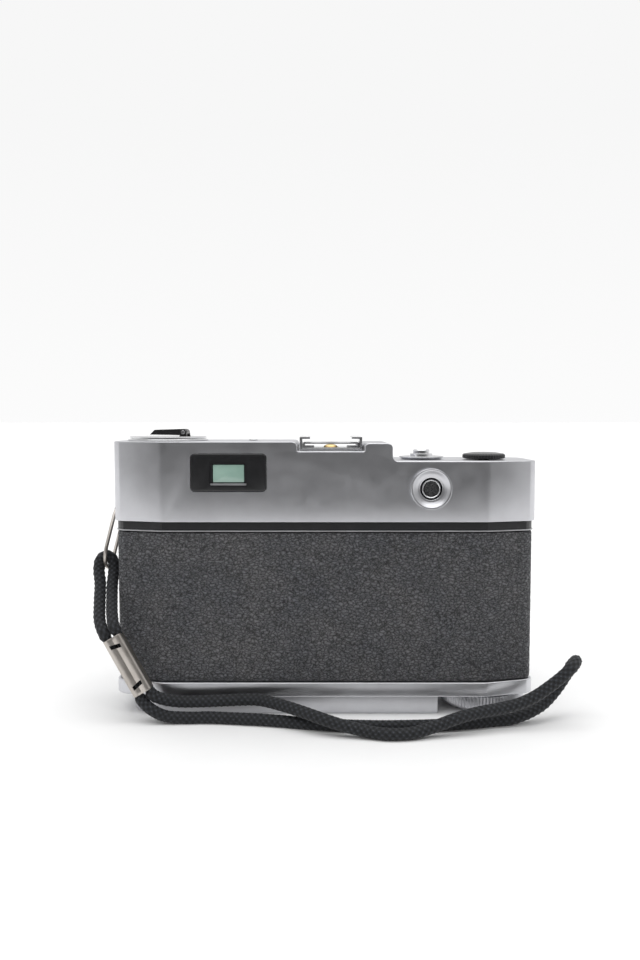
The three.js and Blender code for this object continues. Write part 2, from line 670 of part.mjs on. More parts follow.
function releaseSpring() {
  return turned(RELEASE, [[1.9, 72.4], [2.7, 72.4], [2.7, 77.7], [1.9, 77.7], [1.9, 72.4]], 16);
}

// Shelf in the top cover that the release spring sits on.
function releaseBracket() {
  return box(RELEASE.x - 8, RELEASE.x + 8, RELEASE.y - 6, RELEASE.y + 6, 70.6, 72)
    .add(box(RELEASE.x - 8, RELEASE.x - 6.6, RELEASE.y - 6, RELEASE.y + 6, COVER_BOTTOM, 72))
    .subtract(post(RELEASE, 1.9, 60, 75, 16));
}

// Flared ring round the battery-check button.
function checkButtonRing() {
  const profile = [
    [3.5, 1.1], [3.5, -1], [4.4, -1.2], [5.9, -2.4], [6.55, -2.2],
    [5.2, -0.1], [3.8, -0.1], [3.8, 1.1], [3.5, 1.1],
  ];
  return turnedAlongY(CHECK.x, CHECK.z, profile, 28);
}

function checkButton() {
  return turnedAlongY(CHECK.x, CHECK.z, [[0, 5], [3, 5], [3, -0.7], [2.7, -1.1], [2.1, -0.8], [0, -0.8]], 20);
}

// Black frame of the eyepiece, with a step that holds the glass.
function viewfinderBezel() {
  const frame = roundedRectangle(BEZEL.x0, BEZEL.x1, BEZEL.z0, BEZEL.z1, 1.3);
  const { x0, x1, z0, z1 } = EYEPIECE;
  frame.holes.push(roundedRectangle(x0, x1, z0, z1, 0.5, new THREE.Path()));
  const rim = roundedRectangle(BEZEL.x0 + 1, BEZEL.x1 - 1, BEZEL.z0 + 1, BEZEL.z1 - 1, 1);
  return slab(frame, -0.3, 1.9).subtract(slab(rim, -1, 0.3));
}

function eyepieceGlass() {
  const { x0, x1, z0, z1 } = EYEPIECE;
  return slab(roundedRectangle(x0 + 0.2, x1 - 0.2, z0 + 0.2, z1 - 0.2, 0.4), 0.9, 1.8);
}

// Straight optical tunnel from the eyepiece to the front window.
function finderTube() {
  const half = 7;
  return box(FINDER_X - half, FINDER_X + half, 2.4, DEPTH - 3.6, 71.5, 84.6)
    .subtract(box(FINDER_X - half + 1, FINDER_X + half - 1, 0, DEPTH, 72.5, 83.6));
}

const FRONT_WINDOWS = {
  finder_window: { x0: -38.5, x1: -22.5, z0: 72.5, z1: 82 },
  frameline_window: { x0: -18, x1: -7, z0: 73.5, z1: 81 },
  meter_window: { x0: 2, x1: 10, z0: 73.5, z1: 81 },
};

function frontWindowFrame() {
  const frame = roundedRectangle(WINDOWS.x0, WINDOWS.x1, WINDOWS.z0, WINDOWS.z1, 1.3);
  for (const w of Object.values(FRONT_WINDOWS)) {
    frame.holes.push(roundedRectangle(w.x0, w.x1, w.z0, w.z1, 0.5, new THREE.Path()));
  }
  return slab(frame, DEPTH - 1.7, DEPTH + 0.3);
}

function frontWindow({ x0, x1, z0, z1 }) {
  return slab(roundedRectangle(x0 + 0.2, x1 - 0.2, z0 + 0.2, z1 - 0.2, 0.4), DEPTH - 1.2, DEPTH - 0.3);
}

// Low cheese-head screw that holds the top cover.
function deckScrew() {
  const { x, y } = SCREW;
  const low = LEFT_DECK + 0.05;
  return turned(SCREW, [[0, low], [1.5, low], [1.5, low + 0.3], [1.2, low + 0.45], [0, low + 0.45]], 20)
    .subtract(box(x - 2, x + 2, y - 0.2, y + 0.2, low + 0.2, LEFT_DECK + 1));
}

// ---------------------------------------------------------------- lens
const lensPiece = (profile, sides = 32) => turnedAlongY(0, LENS_Z, profile, sides);

function lensMountRing() {
  const back = DEPTH - SKIN_INSET + FIT;
  const front = back + 1.4;
  const bevel = 0.5;
  return lensPiece([
    [19.4, back], [LENS_MOUNT_R, back], [LENS_MOUNT_R, front - bevel],
    [LENS_MOUNT_R - bevel, front], [19.4, front], [19.4, back],
  ]);
}

// Fixed barrel that carries the shutter and every ring.
function lensBarrel() {
  return lensPiece([
    [16.4, 30], [19, 30], [19, 36], [21.6, 37.2], [21.6, 63.6],
    [17.4, 63.6], [17.4, 52.2], [16.4, 52.2], [16.4, 30],
  ]);
}

function ridgedRing(y0, y1, crest, root, inner, ridges) {
  const outline = ridged(0, LENS_Z, crest, root, ridges);
  return slab(outline, y0, y1).subtract(rod(0, LENS_Z, inner, y0 - 1, y1 + 1, 32));
}

function focusRing() {
  return ridgedRing(40.4, 47.6, FOCUS_R, FOCUS_R - 0.8, 22, 32)
    .add(lensPiece([[22, 37.6], [24.6, 37.6], [25.4, 38.2], [25.4, 41], [22, 41], [22, 37.6]]));
}

function shutterSpeedRing() {
  return ridgedRing(51.8, 55.2, SHUTTER_RING_R, SHUTTER_RING_R - 0.5, 22, 32)
    .add(lensPiece([[22, 48], [24.8, 48], [24.8, 52], [22, 52], [22, 48]]));
}

function apertureRing() {
  return ridgedRing(59, 62, SHUTTER_RING_R - 1.4, SHUTTER_RING_R - 1.9, 22, 32)
    .add(lensPiece([[22, 55.6], [23.8, 55.6], [23.8, 59.4], [22, 59.4], [22, 55.6]]));
}

// Black name ring and filter thread round the front glass, without any lettering.
function lensFrontBezel() {
  return lensPiece([
    [16, 64], [22.6, 64], [23.4, 64.6], [23.4, LENS_FRONT - 0.4], [23, LENS_FRONT],
    [21.8, LENS_FRONT], [21.6, 66.6], [18.6, 65.8], [16, 65.8], [16, 64],
  ]);
}

// Front lens cell: slides with the focus ring.
function lensCell() {
  return lensPiece([[14.2, 54], [17, 54], [17, 61], [15.6, 61], [15.6, 66.4], [14.2, 66.4], [14.2, 54]], 28);
}

function frontElement() {
  return lensPiece([[0, 58], [13.8, 58.6], [13.8, 61.5], [11, 63], [7.5, 64.1], [0, 65]], 28);
}

// Leaf shutter: a block with the diaphragm opening in it.
function shutterUnit() {
  const profile = [[5.5, 47.6], [8, 45.2], [15.9, 44], [15.9, 50.8], [8, 50.8], [5.5, 48.2], [5.5, 47.6]];
  return lensPiece(profile, 24);
}

function rearElement() {
  return lensPiece([[0, 31], [7, 31.6], [12.5, 33.4], [12.5, 36.5], [0, 36]], 24);
}

// Tube that holds the rear glass, from the shutter back into the light tunnel.
function rearCell() {
  return lensPiece([[12.8, 28.5], [15.9, 28.5], [15.9, 43.6], [12.8, 43.6], [12.8, 28.5]], 24);
}

// ---------------------------------------------------------------- strap
// Post and eyelet for the strap ring; side is -1 on the left, 1 on the right.
function strapLug(side) {
  const { y, z } = LUG;
  const x = side * LUG.x;
  const foot = side * (HALF_WIDTH + FIT);
  const seat = new THREE.CylinderGeometry(2.4, 2.8, 0.7, 16);
  seat.rotateZ(-side * QUARTER);
  seat.translate(side * (HALF_WIDTH + 0.5), y, z + 1.6);
  const eye = new THREE.Shape();
  eye.absarc(x, z, LUG_EYE_R, 0, Math.PI * 2, false);
  const near = y - LUG_THICK / 2;
  const far = y + LUG_THICK / 2;
  return solid(seat)
    .add(box(Math.min(foot, x), Math.max(foot, x), near, far, z - 1.4, z + 1.8))
    .add(slab(eye, near, far, 10))
    .subtract(rod(x, z, LUG_HOLE_R, near - 1, far + 1, 12));
}

// Long wire ring: a torus pulled out between its two bends.
function strapRing() {
  const geometry = new THREE.TorusGeometry(RING_BEND_R, RING_WIRE_R, 6, 24);
  const pull = RING_DROP / 2 - RING_BEND_R;
  const place = geometry.attributes.position;
  for (let i = 0; i < place.count; i += 1) {
    const y = place.getY(i);
    if (Math.abs(y) > 1e-6) place.setY(i, y + Math.sign(y) * pull);
  }
  geometry.rotateX(QUARTER);
  geometry.rotateZ(QUARTER);
  return solid(geometry);
}

// Smooth curve through the points of the strap's route.
function along(points) {
  return new THREE.CatmullRomCurve3(points.map((p) => new THREE.Vector3(...p)), false, "centripetal");
}

const crimpAxis = new THREE.Vector3().subVectors(CRIMP_FOOT, CRIMP_TOP);
const crimpLength = crimpAxis.length();
crimpAxis.normalize();
const laneSide = new THREE.Vector3(0, 1, 0).cross(crimpAxis).negate().normalize();

// A point in line with the crimp: side 1 is the strand nearer the body, at is the way down from its top.
function inCrimp(side, at) {
  return CRIMP_TOP.clone()
    .addScaledVector(crimpAxis, at)
    .addScaledVector(laneSide, side * LANE_HALF)
    .toArray();
}

function cordAlong(points, steps) {
  const section = new THREE.Shape();
  section.absarc(0, 0, CORD_R, 0, Math.PI * 2, false);
  const settings = {
    steps,
    extrudePath: along(points),
    bevelEnabled: false,
    curveSegments: CORD_SIDES / 2,
  };
  return solid(new THREE.ExtrudeGeometry(section, settings));
}

// From the top of the crimp up through the ring and back down to the crimp.
const HANGER_ROUTE = [
  inCrimp(-1, -RUN),
  inCrimp(-1, -2.5),
  [-71.7, -0.8, 31.2],
  [-73.1, 5, 36.2],
  [-74.1, 10.3, 41.6],
  [-75.2, 13.4, 46],
  [-74.7, 14.4, 48.9],
  [-72.8, 14.5, 50.1],
  [-70.9, 14.4, 48.9],
  [-70.3, 13.4, 45.6],
  [-70.1, 10.3, 41.4],
  [-69.2, 5.4, 37],
  [-67.9, -0.2, 33],
  inCrimp(1, -2.5),
  inCrimp(1, -RUN),
];

// From the foot of the crimp along the table to the bight at the right and back to the crimp.
const LOOP_ROUTE = [
  inCrimp(1, crimpLength + RUN),
  inCrimp(1, crimpLength + 2),
  [-51, -5.6, 7.6],
  [-45.9, -4.8, 6.6],
  [-40.1, -4.8, 6.6],
  [-32.5, -4.8, 6.9],
  [-24.6, -4.8, 7.2],
  [-20.5, -5.3, 7.2],
  [-15.3, -8, 6.9],
  [-8.7, -12.3, 6.3],
  [-1.6, -16.5, 5.2],
  [4.7, -18.4, 3.7],
  [13.4, -20, 2.1],
  [18.7, -21.3, 1.85],
  [25.3, -20.9, 1.95],
  [31.5, -19.2, 3],
  [40.7, -17.2, 5.6],
  [47.2, -15, 6.5],
  [53.7, -13, 7],
  [60.1, -12, 8.3],
  [64.8, -11.2, 10.2],
  [69, -10.4, 12.7],
  [72.9, -10, 15.6],
  [76.6, -9, 18.6],
  [78.9, -5.2, 19.6],
  [78.6, -1.4, 17.2],
  [77, -0.6, 13.7],
  [73.8, -1.5, 9.4],
  [69.5, -3.5, 5.6],
  [65.6, -5.5, 3.9],
  [61.8, -7, 2.8],
  [57.8, -8, 2],
  [51.8, -9.2, 1.85],
  [44.8, -11.2, 1.85],
  [32.8, -13.4, 1.85],
  [19.5, -14.3, 1.85],
  [8.2, -13.8, 1.85],
  [-5, -11.7, 1.85],
  [-15.6, -9, 1.85],
  [-26.1, -7.2, 1.85],
  [-36.7, -6, 1.85],
  [-44.5, -6.3, 1.9],
  [-50.6, -6.6, 2.6],
  [-55, -6.8, 5],
  inCrimp(-1, crimpLength + 2),
  inCrimp(-1, crimpLength + RUN),
];

// Flattened metal sleeve, closed round the two strands.
function strapCrimp() {
  const [wide, deep] = [CRIMP_WIDE / 2, CRIMP_DEEP / 2];
  const inside = CRIMP_WALL;
  const sleeve = roundedRectangle(-wide, wide, -deep, deep, 2);
  sleeve.holes.push(
    roundedRectangle(inside - wide, wide - inside, inside - deep, deep - inside, 1.6, new THREE.Path()),
  );
  return prism(sleeve, -crimpLength / 2, crimpLength / 2, 4);
}

// ---------------------------------------------------------------- assembly
add("body_casting", "blackPaint", bodyCasting());
add("front_covering", "leather", frontCovering());
add("top_cover", "satinChrome", topCover());
add("base_plate", "satinChrome", basePlate());
add("tripod_bush", "steel", tripodBush());
add("battery_cover", "aluminium", batteryCover());
add("battery_cell", "steel", batteryCell());
add("rewind_release_button", "steel", rewindReleaseButton());
add("back_door", "blackPaint", backDoor());
add("door_leather", "leather", doorLeather());
add("door_hinge_pin", "steel", doorHingePin());
add("hinge_ear_lower", "steel", hingeEar(DOOR_BOTTOM + EAR_START, DOOR_BOTTOM + EAR_END));
add("hinge_ear_upper", "steel", hingeEar(DOOR_TOP - EAR_END, DOOR_TOP - EAR_START));
add("pressure_plate", "blackPaint", pressurePlate());
add("pressure_spring", "steel", pressureSpring());
add("take_up_spool", "blackPlastic", takeUpSpool());
add("wind_shaft", "steel", windShaft());
add("wind_wheel", "satinChrome", windWheel());
add("film_sprocket", "steel", filmSprocket());
add("counter_knob", "blackPlastic", counterKnob());
add("rewind_bush", "brass", rewindBush());
add("rewind_shaft", "steel", rewindShaft());
add("rewind_base_ring", "polishedChrome", rewindBaseRing());
add("rewind_knob", "polishedChrome", rewindKnob());
add("crank_pin", "steel", crankPin());
add("rewind_crank", "blackPaint", rewindCrank());
add("accessory_shoe", "polishedChrome", accessoryShoe());
add("shoe_spring", "steel", shoeSpring());
add("shoe_contact", "brass", shoeContact());
add("shutter_collar", "polishedChrome", shutterCollar());
add("shutter_button", "polishedChrome", shutterButton());
add("release_spring", "steel", releaseSpring());
add("release_bracket", "steel", releaseBracket());
add("check_button_ring", "polishedChrome", checkButtonRing());
add("check_button", "steel", checkButton());
add("viewfinder_bezel", "blackPlastic", viewfinderBezel());
add("eyepiece_glass", "glass", eyepieceGlass());
add("finder_tube", "blackPaint", finderTube());
add("front_window_frame", "blackPlastic", frontWindowFrame());
for (const [name, place] of Object.entries(FRONT_WINDOWS)) add(name, "glass", frontWindow(place));
add("deck_screw", "polishedChrome", deckScrew());
add("lens_mount_ring", "polishedChrome", lensMountRing());
add("lens_barrel", "blackPaint", lensBarrel());
add("focus_ring", "satinChrome", focusRing());
add("shutter_speed_ring", "satinChrome", shutterSpeedRing());
add("aperture_ring", "satinChrome", apertureRing());
add("lens_front_bezel", "blackPaint", lensFrontBezel());
add("lens_cell", "blackPaint", lensCell());
add("front_element", "glass", frontElement());
add("shutter_unit", "blackPaint", shutterUnit());
add("rear_cell", "blackPaint", rearCell());
add("rear_element", "glass", rearElement());
add("strap_lug_left", "polishedChrome", strapLug(-1));
add("strap_lug_right", "polishedChrome", strapLug(1));

const ring = add("strap_ring", "polishedChrome", strapRing());
const ringTop = new THREE.Vector3(-LUG.x, LUG.y, LUG.z);
ring.position.lerpVectors(ringTop, RING_FOOT, 0.5);
ring.quaternion.setFromUnitVectors(new THREE.Vector3(0, 0, 1), ringTop.clone().sub(RING_FOOT).normalize());

const crimp = add("strap_crimp", "steel", strapCrimp());
crimp.position.lerpVectors(CRIMP_TOP, CRIMP_FOOT, 0.5);
crimp.quaternion.setFromRotationMatrix(
  new THREE.Matrix4().makeBasis(laneSide, crimpAxis.clone().cross(laneSide), crimpAxis),
);

add("strap_hanger_cord", "braid", cordAlong(HANGER_ROUTE, 30));
add("strap_loop_cord", "braid", cordAlong(LOOP_ROUTE, 50));

// The origin lies on the table, under the middle of the camera without its strap.
const body = new THREE.Box3();
for (const mesh of camera.children) {
  if (!mesh.name.startsWith("strap_") || mesh.name.startsWith("strap_lug")) body.expandByObject(mesh);
}
const middle = body.getCenter(new THREE.Vector3());
camera.position.set(-middle.x, -middle.y, -body.min.z);

export default camera;
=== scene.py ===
"""Looks of a 35 mm film camera with a braided wrist strap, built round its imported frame.

Shapes are drawn in millimetres in the frame's axes: X to the right seen from behind the camera,
Y towards the lens and Z up. REAR is the plane of the back of the top cover.
"""

import math

import bmesh
import bpy
import numpy as np
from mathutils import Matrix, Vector, noise


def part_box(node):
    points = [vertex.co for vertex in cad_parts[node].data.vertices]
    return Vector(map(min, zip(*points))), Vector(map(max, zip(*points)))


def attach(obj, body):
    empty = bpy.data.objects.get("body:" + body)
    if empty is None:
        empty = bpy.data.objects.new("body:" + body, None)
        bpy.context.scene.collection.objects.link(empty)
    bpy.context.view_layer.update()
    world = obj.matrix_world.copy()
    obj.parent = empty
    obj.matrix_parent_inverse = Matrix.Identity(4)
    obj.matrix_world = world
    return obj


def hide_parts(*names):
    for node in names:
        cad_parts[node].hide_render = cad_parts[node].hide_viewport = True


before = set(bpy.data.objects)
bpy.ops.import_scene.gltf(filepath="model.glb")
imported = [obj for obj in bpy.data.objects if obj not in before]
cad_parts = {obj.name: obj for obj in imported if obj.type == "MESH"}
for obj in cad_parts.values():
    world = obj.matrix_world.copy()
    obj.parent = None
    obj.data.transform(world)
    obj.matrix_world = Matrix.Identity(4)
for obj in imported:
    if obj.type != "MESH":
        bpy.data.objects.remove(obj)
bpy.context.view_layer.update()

MM = 0.001


class Place:
    """A CAD node's box at rest, in millimetres."""

    def __init__(self, node):
        low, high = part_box(node)
        self.x0, self.y0, self.z0 = (v / MM for v in low)
        self.x1, self.y1, self.z1 = (v / MM for v in high)
        self.x = (self.x0 + self.x1) / 2
        self.y = (self.y0 + self.y1) / 2
        self.z = (self.z0 + self.z1) / 2
        self.at = (self.x, self.y)  # its middle seen from above


COVER = Place("top_cover")
BASE = Place("base_plate")
LEATHER = Place("door_leather")
BARREL = Place("lens_barrel")
REAR = COVER.y0
FRONT = COVER.y1
HALF_WIDTH = COVER.x1
LENS_Z = BARREL.z

# Plan outline of the body
FLAT_HALF = 52
FLAT_SOFTNESS = 0.8
FACET_HALF = 65.7
FACET_DROP = 3.9
CORNER_DROP = 7.2
CORNER_PULL = (0.3, 5.4)
BASE_INSET = 0.2
SKIN_INSET = 0.65
RAIL_INSET = 0.7
SKIN_THICK = 0.8

# Steps of the top cover
SHOE_FLOOR = 85.4
RIGHT_DECK = 82.3
HUMP_TOP = 88
LEFT_DECK = COVER.z1
LEFT_DECK_END = -8.8
HUMP_START = 12.6
HUMP_END = 21.5
STEP_FILLET = 1.9
SHOE_STEP = 1.6
FOOT_FILLET = 0.4
COVER_WALL = 1.3
SHELL_EDGE = 0.45
BASE_SKIRT = 6.4
BASE_WALL = 1.4
DOOR_SEAM = REAR + 12

# --- camera
LENS_MM = 33.75
CAMERA_AT = (-1.58, -317.7, 95.3)
CAMERA_DOWN = 3.81


def make_camera():
    data = bpy.data.cameras.new("view")
    data.lens = LENS_MM
    data.sensor_width = 36
    data.sensor_fit = "AUTO"
    data.clip_start = 0.01
    camera = bpy.data.objects.new("view", data)
    camera.location = [v * MM for v in CAMERA_AT]
    camera.rotation_euler = (math.radians(90 - CAMERA_DOWN), 0, 0)
    bpy.context.scene.collection.objects.link(camera)
    bpy.context.scene.camera = camera


make_camera()


# --- materials
def blank_material(name, colour, roughness, metallic=0.0, **sockets):
    """A material with its Principled shader set; returns the material, its nodes' tree and the shader."""
    material = bpy.data.materials.new(name)
    material.use_nodes = True
    tree = material.node_tree
    shader = tree.nodes["Principled BSDF"]
    shader.inputs["Base Color"].default_value = (*colour, 1)
    shader.inputs["Roughness"].default_value = roughness
    shader.inputs["Metallic"].default_value = metallic
    for socket, value in sockets.items():
        shader.inputs[socket.replace("_", " ")].default_value = value
    return material, tree, shader


def object_space(tree, scale):
    """Object coordinates in millimetres, times scale along each axis."""
    place = tree.nodes.new("ShaderNodeTexCoord")
    mapping = tree.nodes.new("ShaderNodeMapping")
    mapping.inputs["Scale"].default_value = [s / MM for s in scale]
    tree.links.new(place.outputs["Object"], mapping.inputs["Vector"])
    return mapping.outputs["Vector"]


def cloudy(tree, scale, detail, rough=0.5, stretch=(1, 1, 1)):
    """A noise texture of scale cycles a millimetre."""
    texture = tree.nodes.new("ShaderNodeTexNoise")
    texture.inputs["Scale"].default_value = 1
    texture.inputs["Detail"].default_value = detail
    texture.inputs["Roughness"].default_value = rough
    tree.links.new(object_space(tree, [s * scale for s in stretch]), texture.inputs["Vector"])
    return texture


def graded(tree, value, stops, smooth=False):
    """A colour ramp over value; stops are (position, colour) pairs, a colour being grey or RGB."""
    ramp = tree.nodes.new("ShaderNodeValToRGB")
    ramp.color_ramp.interpolation = "EASE" if smooth else "LINEAR"
    elements = ramp.color_ramp.elements
    while len(elements) < len(stops):
        elements.new(0.5)
    for element, (position, colour) in zip(elements, stops):
        element.position = position
        shade = (colour,) * 3 if isinstance(colour, (int, float)) else colour
        element.color = (*shade, 1)
    tree.links.new(value, ramp.inputs["Fac"])
    return ramp.outputs["Color"]


def relief(tree, shader, height, distance, strength=1.0, under=None):
    """A bump of that depth in millimetres; under is a bump that it lies on."""
    bump = tree.nodes.new("ShaderNodeBump")
    bump.inputs["Distance"].default_value = distance * MM
    bump.inputs["Strength"].default_value = strength
    tree.links.new(height, bump.inputs["Height"])
    if under is not None:
        tree.links.new(under.outputs["Normal"], bump.inputs["Normal"])
    tree.links.new(bump.outputs["Normal"], shader.inputs["Normal"])
    return bump


def tinted(tree, shader, texture, stops, smooth=False):
    """Base colours graded over a texture."""
    tint = graded(tree, texture.outputs["Fac"], stops, smooth)
    tree.links.new(tint, shader.inputs["Base Color"])


def uneven_gloss(tree, shader, texture, stops):
    """Roughness graded over a texture."""
    tree.links.new(graded(tree, texture.outputs["Fac"], stops), shader.inputs["Roughness"])


def multiplied(tree, first, second):
    mix = tree.nodes.new("ShaderNodeMix")
    mix.data_type = "RGBA"
    mix.blend_type = "MULTIPLY"
    mix.inputs["Factor"].default_value = 1
    tree.links.new(first, mix.inputs["A"])
    tree.links.new(second, mix.inputs["B"])
    return mix.outputs["Result"]


def metal(name, colour, dark, roughness, spread, grain, grain_scale, stretch=(1, 1, 1), depth=0.01):
    """A plated or turned metal: patchy tone, uneven gloss and a fine grain, brushed by stretch."""
    material, tree, shader = blank_material(name, colour, roughness, 1.0)
    tinted(tree, shader, cloudy(tree, 0.09, 5, 0.6), [(0.3, dark), (0.7, colour)])
    haze = cloudy(tree, 0.25, 2, stretch=stretch)
    uneven_gloss(tree, shader, haze, [(0.3, roughness - spread), (0.7, roughness + spread)])
    fine = cloudy(tree, grain_scale, 1, stretch=stretch)
    relief(tree, shader, fine.outputs["Fac"], depth, grain)
    return material


def black_finish(name, colour, roughness, spread, coat):
    """Black paint or moulded plastic, with a slightly uneven gloss and pale rubbed spots."""
    material, tree, shader = blank_material(name, colour, roughness, Coat_Weight=coat, Coat_Roughness=0.2)
    faded = tuple(1.5 * c for c in colour)
    worn = tuple(3.2 * c + 0.01 for c in colour)
    tinted(tree, shader, cloudy(tree, 0.35, 8, 0.7), [(0.45, colour), (0.62, faded), (0.8, worn)])
    haze = cloudy(tree, 1.3, 5)
    uneven_gloss(tree, shader, haze, [(0.3, roughness - spread), (0.7, roughness + spread)])
    relief(tree, shader, cloudy(tree, 5, 3).outputs["Fac"], 0.004, 0.35)
    return material


PEBBLES_PER_MM = (0.72, 0.72, 1.2)
PEBBLE_WANDER = 2.6


def leather_finish():
    """Black leathercloth: wrinkled pebbles, with painted shade in the creases and painted highlights on the
    pebble tops.
    """
    material, tree, shader = blank_material("leather", (0.03, 0.031, 0.033), 0.55, Specular_IOR_Level=0.42)
    wander = cloudy(tree, 0.5, 4)
    shift = tree.nodes.new("ShaderNodeVectorMath")
    shift.operation = "MULTIPLY_ADD"
    shift.inputs[1].default_value = (PEBBLE_WANDER,) * 3
    tree.links.new(wander.outputs["Color"], shift.inputs[0])
    tree.links.new(object_space(tree, PEBBLES_PER_MM), shift.inputs[2])
    cells = tree.nodes.new("ShaderNodeTexVoronoi")
    cells.feature = "DISTANCE_TO_EDGE"
    cells.inputs["Scale"].default_value = 1
    cells.inputs["Randomness"].default_value = 1
    tree.links.new(shift.outputs["Vector"], cells.inputs["Vector"])
    pebble = graded(tree, cells.outputs["Distance"], [(0.0, 0.0), (0.16, 0.5), (0.5, 1.0)], smooth=True)
    patches = cloudy(tree, 0.06, 6, 0.65).outputs["Fac"]
    base = graded(tree, patches, [(0.3, (0.074, 0.077, 0.086)), (0.72, (0.112, 0.11, 0.113))])
    # Painted shade darkens the creases and painted highlights lighten the pebble tops, graded over the
    # pebble height.
    crease_shade_top_highlight = graded(tree, pebble, [(0.0, 0.25), (0.5, 0.8), (1.0, 1.45)])
    tree.links.new(multiplied(tree, base, crease_shade_top_highlight), shader.inputs["Base Color"])
    gloss = graded(tree, pebble, [(0.0, 0.8), (0.6, 0.5), (1.0, 0.38)])
    tree.links.new(gloss, shader.inputs["Roughness"])
    folds = relief(tree, shader, pebble, 0.2, 1.0)
    pores = cloudy(tree, 5.5, 4, 0.6)
    relief(tree, shader, pores.outputs["Fac"], 0.02, 0.5, under=folds)
    return material


def braid_finish():
    """Black braided cord: matt threads with a soft sheen, with painted shade in the grooves between them
    and painted highlights on the thread tops.

    The mesh's point attribute "stitch" says how high the braid is, from 0 to 1.
    """
    black = (0.012, 0.013, 0.015)
    material, tree, shader = blank_material("braid", black, 0.85, Sheen_Weight=0.12, Sheen_Roughness=0.4)
    stitch = tree.nodes.new("ShaderNodeAttribute")
    stitch.attribute_name = "stitch"
    threads = cloudy(tree, 2.2, 6, 0.7)
    thread_stops = [(0.3, (0.008, 0.009, 0.011)), (0.75, (0.02, 0.022, 0.026))]
    tint = graded(tree, threads.outputs["Fac"], thread_stops)
    # Painted shade in the grooves and painted highlights on the raised threads, graded over the stitch
    # height.
    depth = graded(tree, stitch.outputs["Fac"], [(0.3, 0.2), (0.7, 1.0), (1.0, 3.0)])
    tree.links.new(multiplied(tree, tint, depth), shader.inputs["Base Color"])
    uneven_gloss(tree, shader, threads, [(0.3, 0.9), (0.8, 0.6)])
    relief(tree, shader, cloudy(tree, 6, 3).outputs["Fac"], 0.01, 0.6)
    return material


def glass_finish(name, colour, dark, roughness):
    """Coated glass over a dark finder or lens: a tinted, glossy face with a slow change of tint."""
    material, tree, shader = blank_material(name, colour, roughness, Coat_Weight=1.0, Coat_Roughness=0.03)
    tinted(tree, shader, cloudy(tree, 0.12, 3), [(0.25, dark), (0.7, colour)], smooth=True)
    uneven_gloss(tree, shader, cloudy(tree, 3, 6), [(0.4, roughness), (0.8, roughness + 0.08)])
    return material


SATIN = metal("satin_chrome", (0.66, 0.665, 0.69), (0.6, 0.6, 0.625), 0.345, 0.03, 0.3, 0.35, depth=0.003)
POLISHED = metal(
    "polished_chrome", (0.82, 0.825, 0.84), (0.74, 0.74, 0.75), 0.14, 0.05, 0.15, 3, depth=0.0005,
)
NICKEL = metal(
    "worn_nickel", (0.62, 0.585, 0.55), (0.45, 0.41, 0.37), 0.37, 0.06, 0.5, 3, (1, 1, 0.2), depth=0.004,
)
ALUMINIUM = metal(
    "turned_aluminium", (0.78, 0.785, 0.8), (0.66, 0.66, 0.67), 0.36, 0.05, 0.4, 3, depth=0.001,
)
STEEL = metal("steel", (0.5, 0.505, 0.52), (0.36, 0.36, 0.37), 0.37, 0.06, 0.4, 3, depth=0.001)
BRASS = metal("brass", (0.75, 0.56, 0.27), (0.55, 0.4, 0.18), 0.34, 0.04, 0.3, 3, depth=0.001)
PAINT = black_finish("black_paint", (0.006, 0.006, 0.007), 0.42, 0.08, 0.3)
PLASTIC = black_finish("black_plastic", (0.006, 0.006, 0.007), 0.36, 0.05, 0.5)
LEATHERCLOTH = leather_finish()
BRAID = braid_finish()
# The eyepiece glass is opaque; its pale green is a painted view of the bright light seen through the
# finder.
EYE_GLASS_PAINTED_VIEW = glass_finish("finder_glass_painted_view", (0.32, 0.47, 0.4), (0.26, 0.4, 0.34), 0.12)
LENS_GLASS = glass_finish("lens_glass", (0.02, 0.014, 0.03), (0.006, 0.008, 0.014), 0.03)
WINDOW_GLASS = glass_finish("window_glass", (0.07, 0.09, 0.1), (0.03, 0.04, 0.05), 0.06)
FROSTED = glass_finish("frosted_window", (0.55, 0.57, 0.56), (0.45, 0.47, 0.47), 0.35)


# --- making pieces
SHARP = math.radians(35)


def shade(mesh):
    mesh.shade_smooth()
    mesh.set_sharp_from_angle(angle=SHARP)


def mesh_object(name, points, faces):
    """An object of points in millimetres, with its faces turned out."""
    mesh = bpy.data.meshes.new(name)
    mesh.from_pydata([[v * MM for v in p] for p in points], [], faces)
    work = bmesh.new()
    work.from_mesh(mesh)
    bmesh.ops.remove_doubles(work, verts=work.verts, dist=1e-7)
    bmesh.ops.recalc_face_normals(work, faces=work.faces)
    work.to_mesh(mesh)
    work.free()
    made = bpy.data.objects.new(name, mesh)
    bpy.context.scene.collection.objects.link(made)
    return made


def band(low, high, count):
    """Faces between two rings of count points, from the numbers of their first points."""
    return [[low + k, low + (k + 1) % count, high + (k + 1) % count, high + k] for k in range(count)]


def lifted(x, v, h, axis):
    """A point of a flat drawing, at h along the axis that the drawing lacks."""
    return (x, v, h) if axis == "Z" else (x, h, v)


def applied(made):
    """made with its modifiers worked into its mesh."""
    graph = bpy.context.evaluated_depsgraph_get()
    mesh = bpy.data.meshes.new_from_object(made.evaluated_get(graph))
    made.modifiers.clear()
    made.data = mesh
    return made


def combine(made, other, operation):
    """made joined with, cut by or kept inside other, which goes."""
    modifier = made.modifiers.new("cut", "BOOLEAN")
    modifier.operation = operation
    modifier.solver = "EXACT"
    modifier.object = other
    applied(made)
    bpy.data.objects.remove(other)
    return made


def cut(made, other):
    return combine(made, other, "DIFFERENCE")


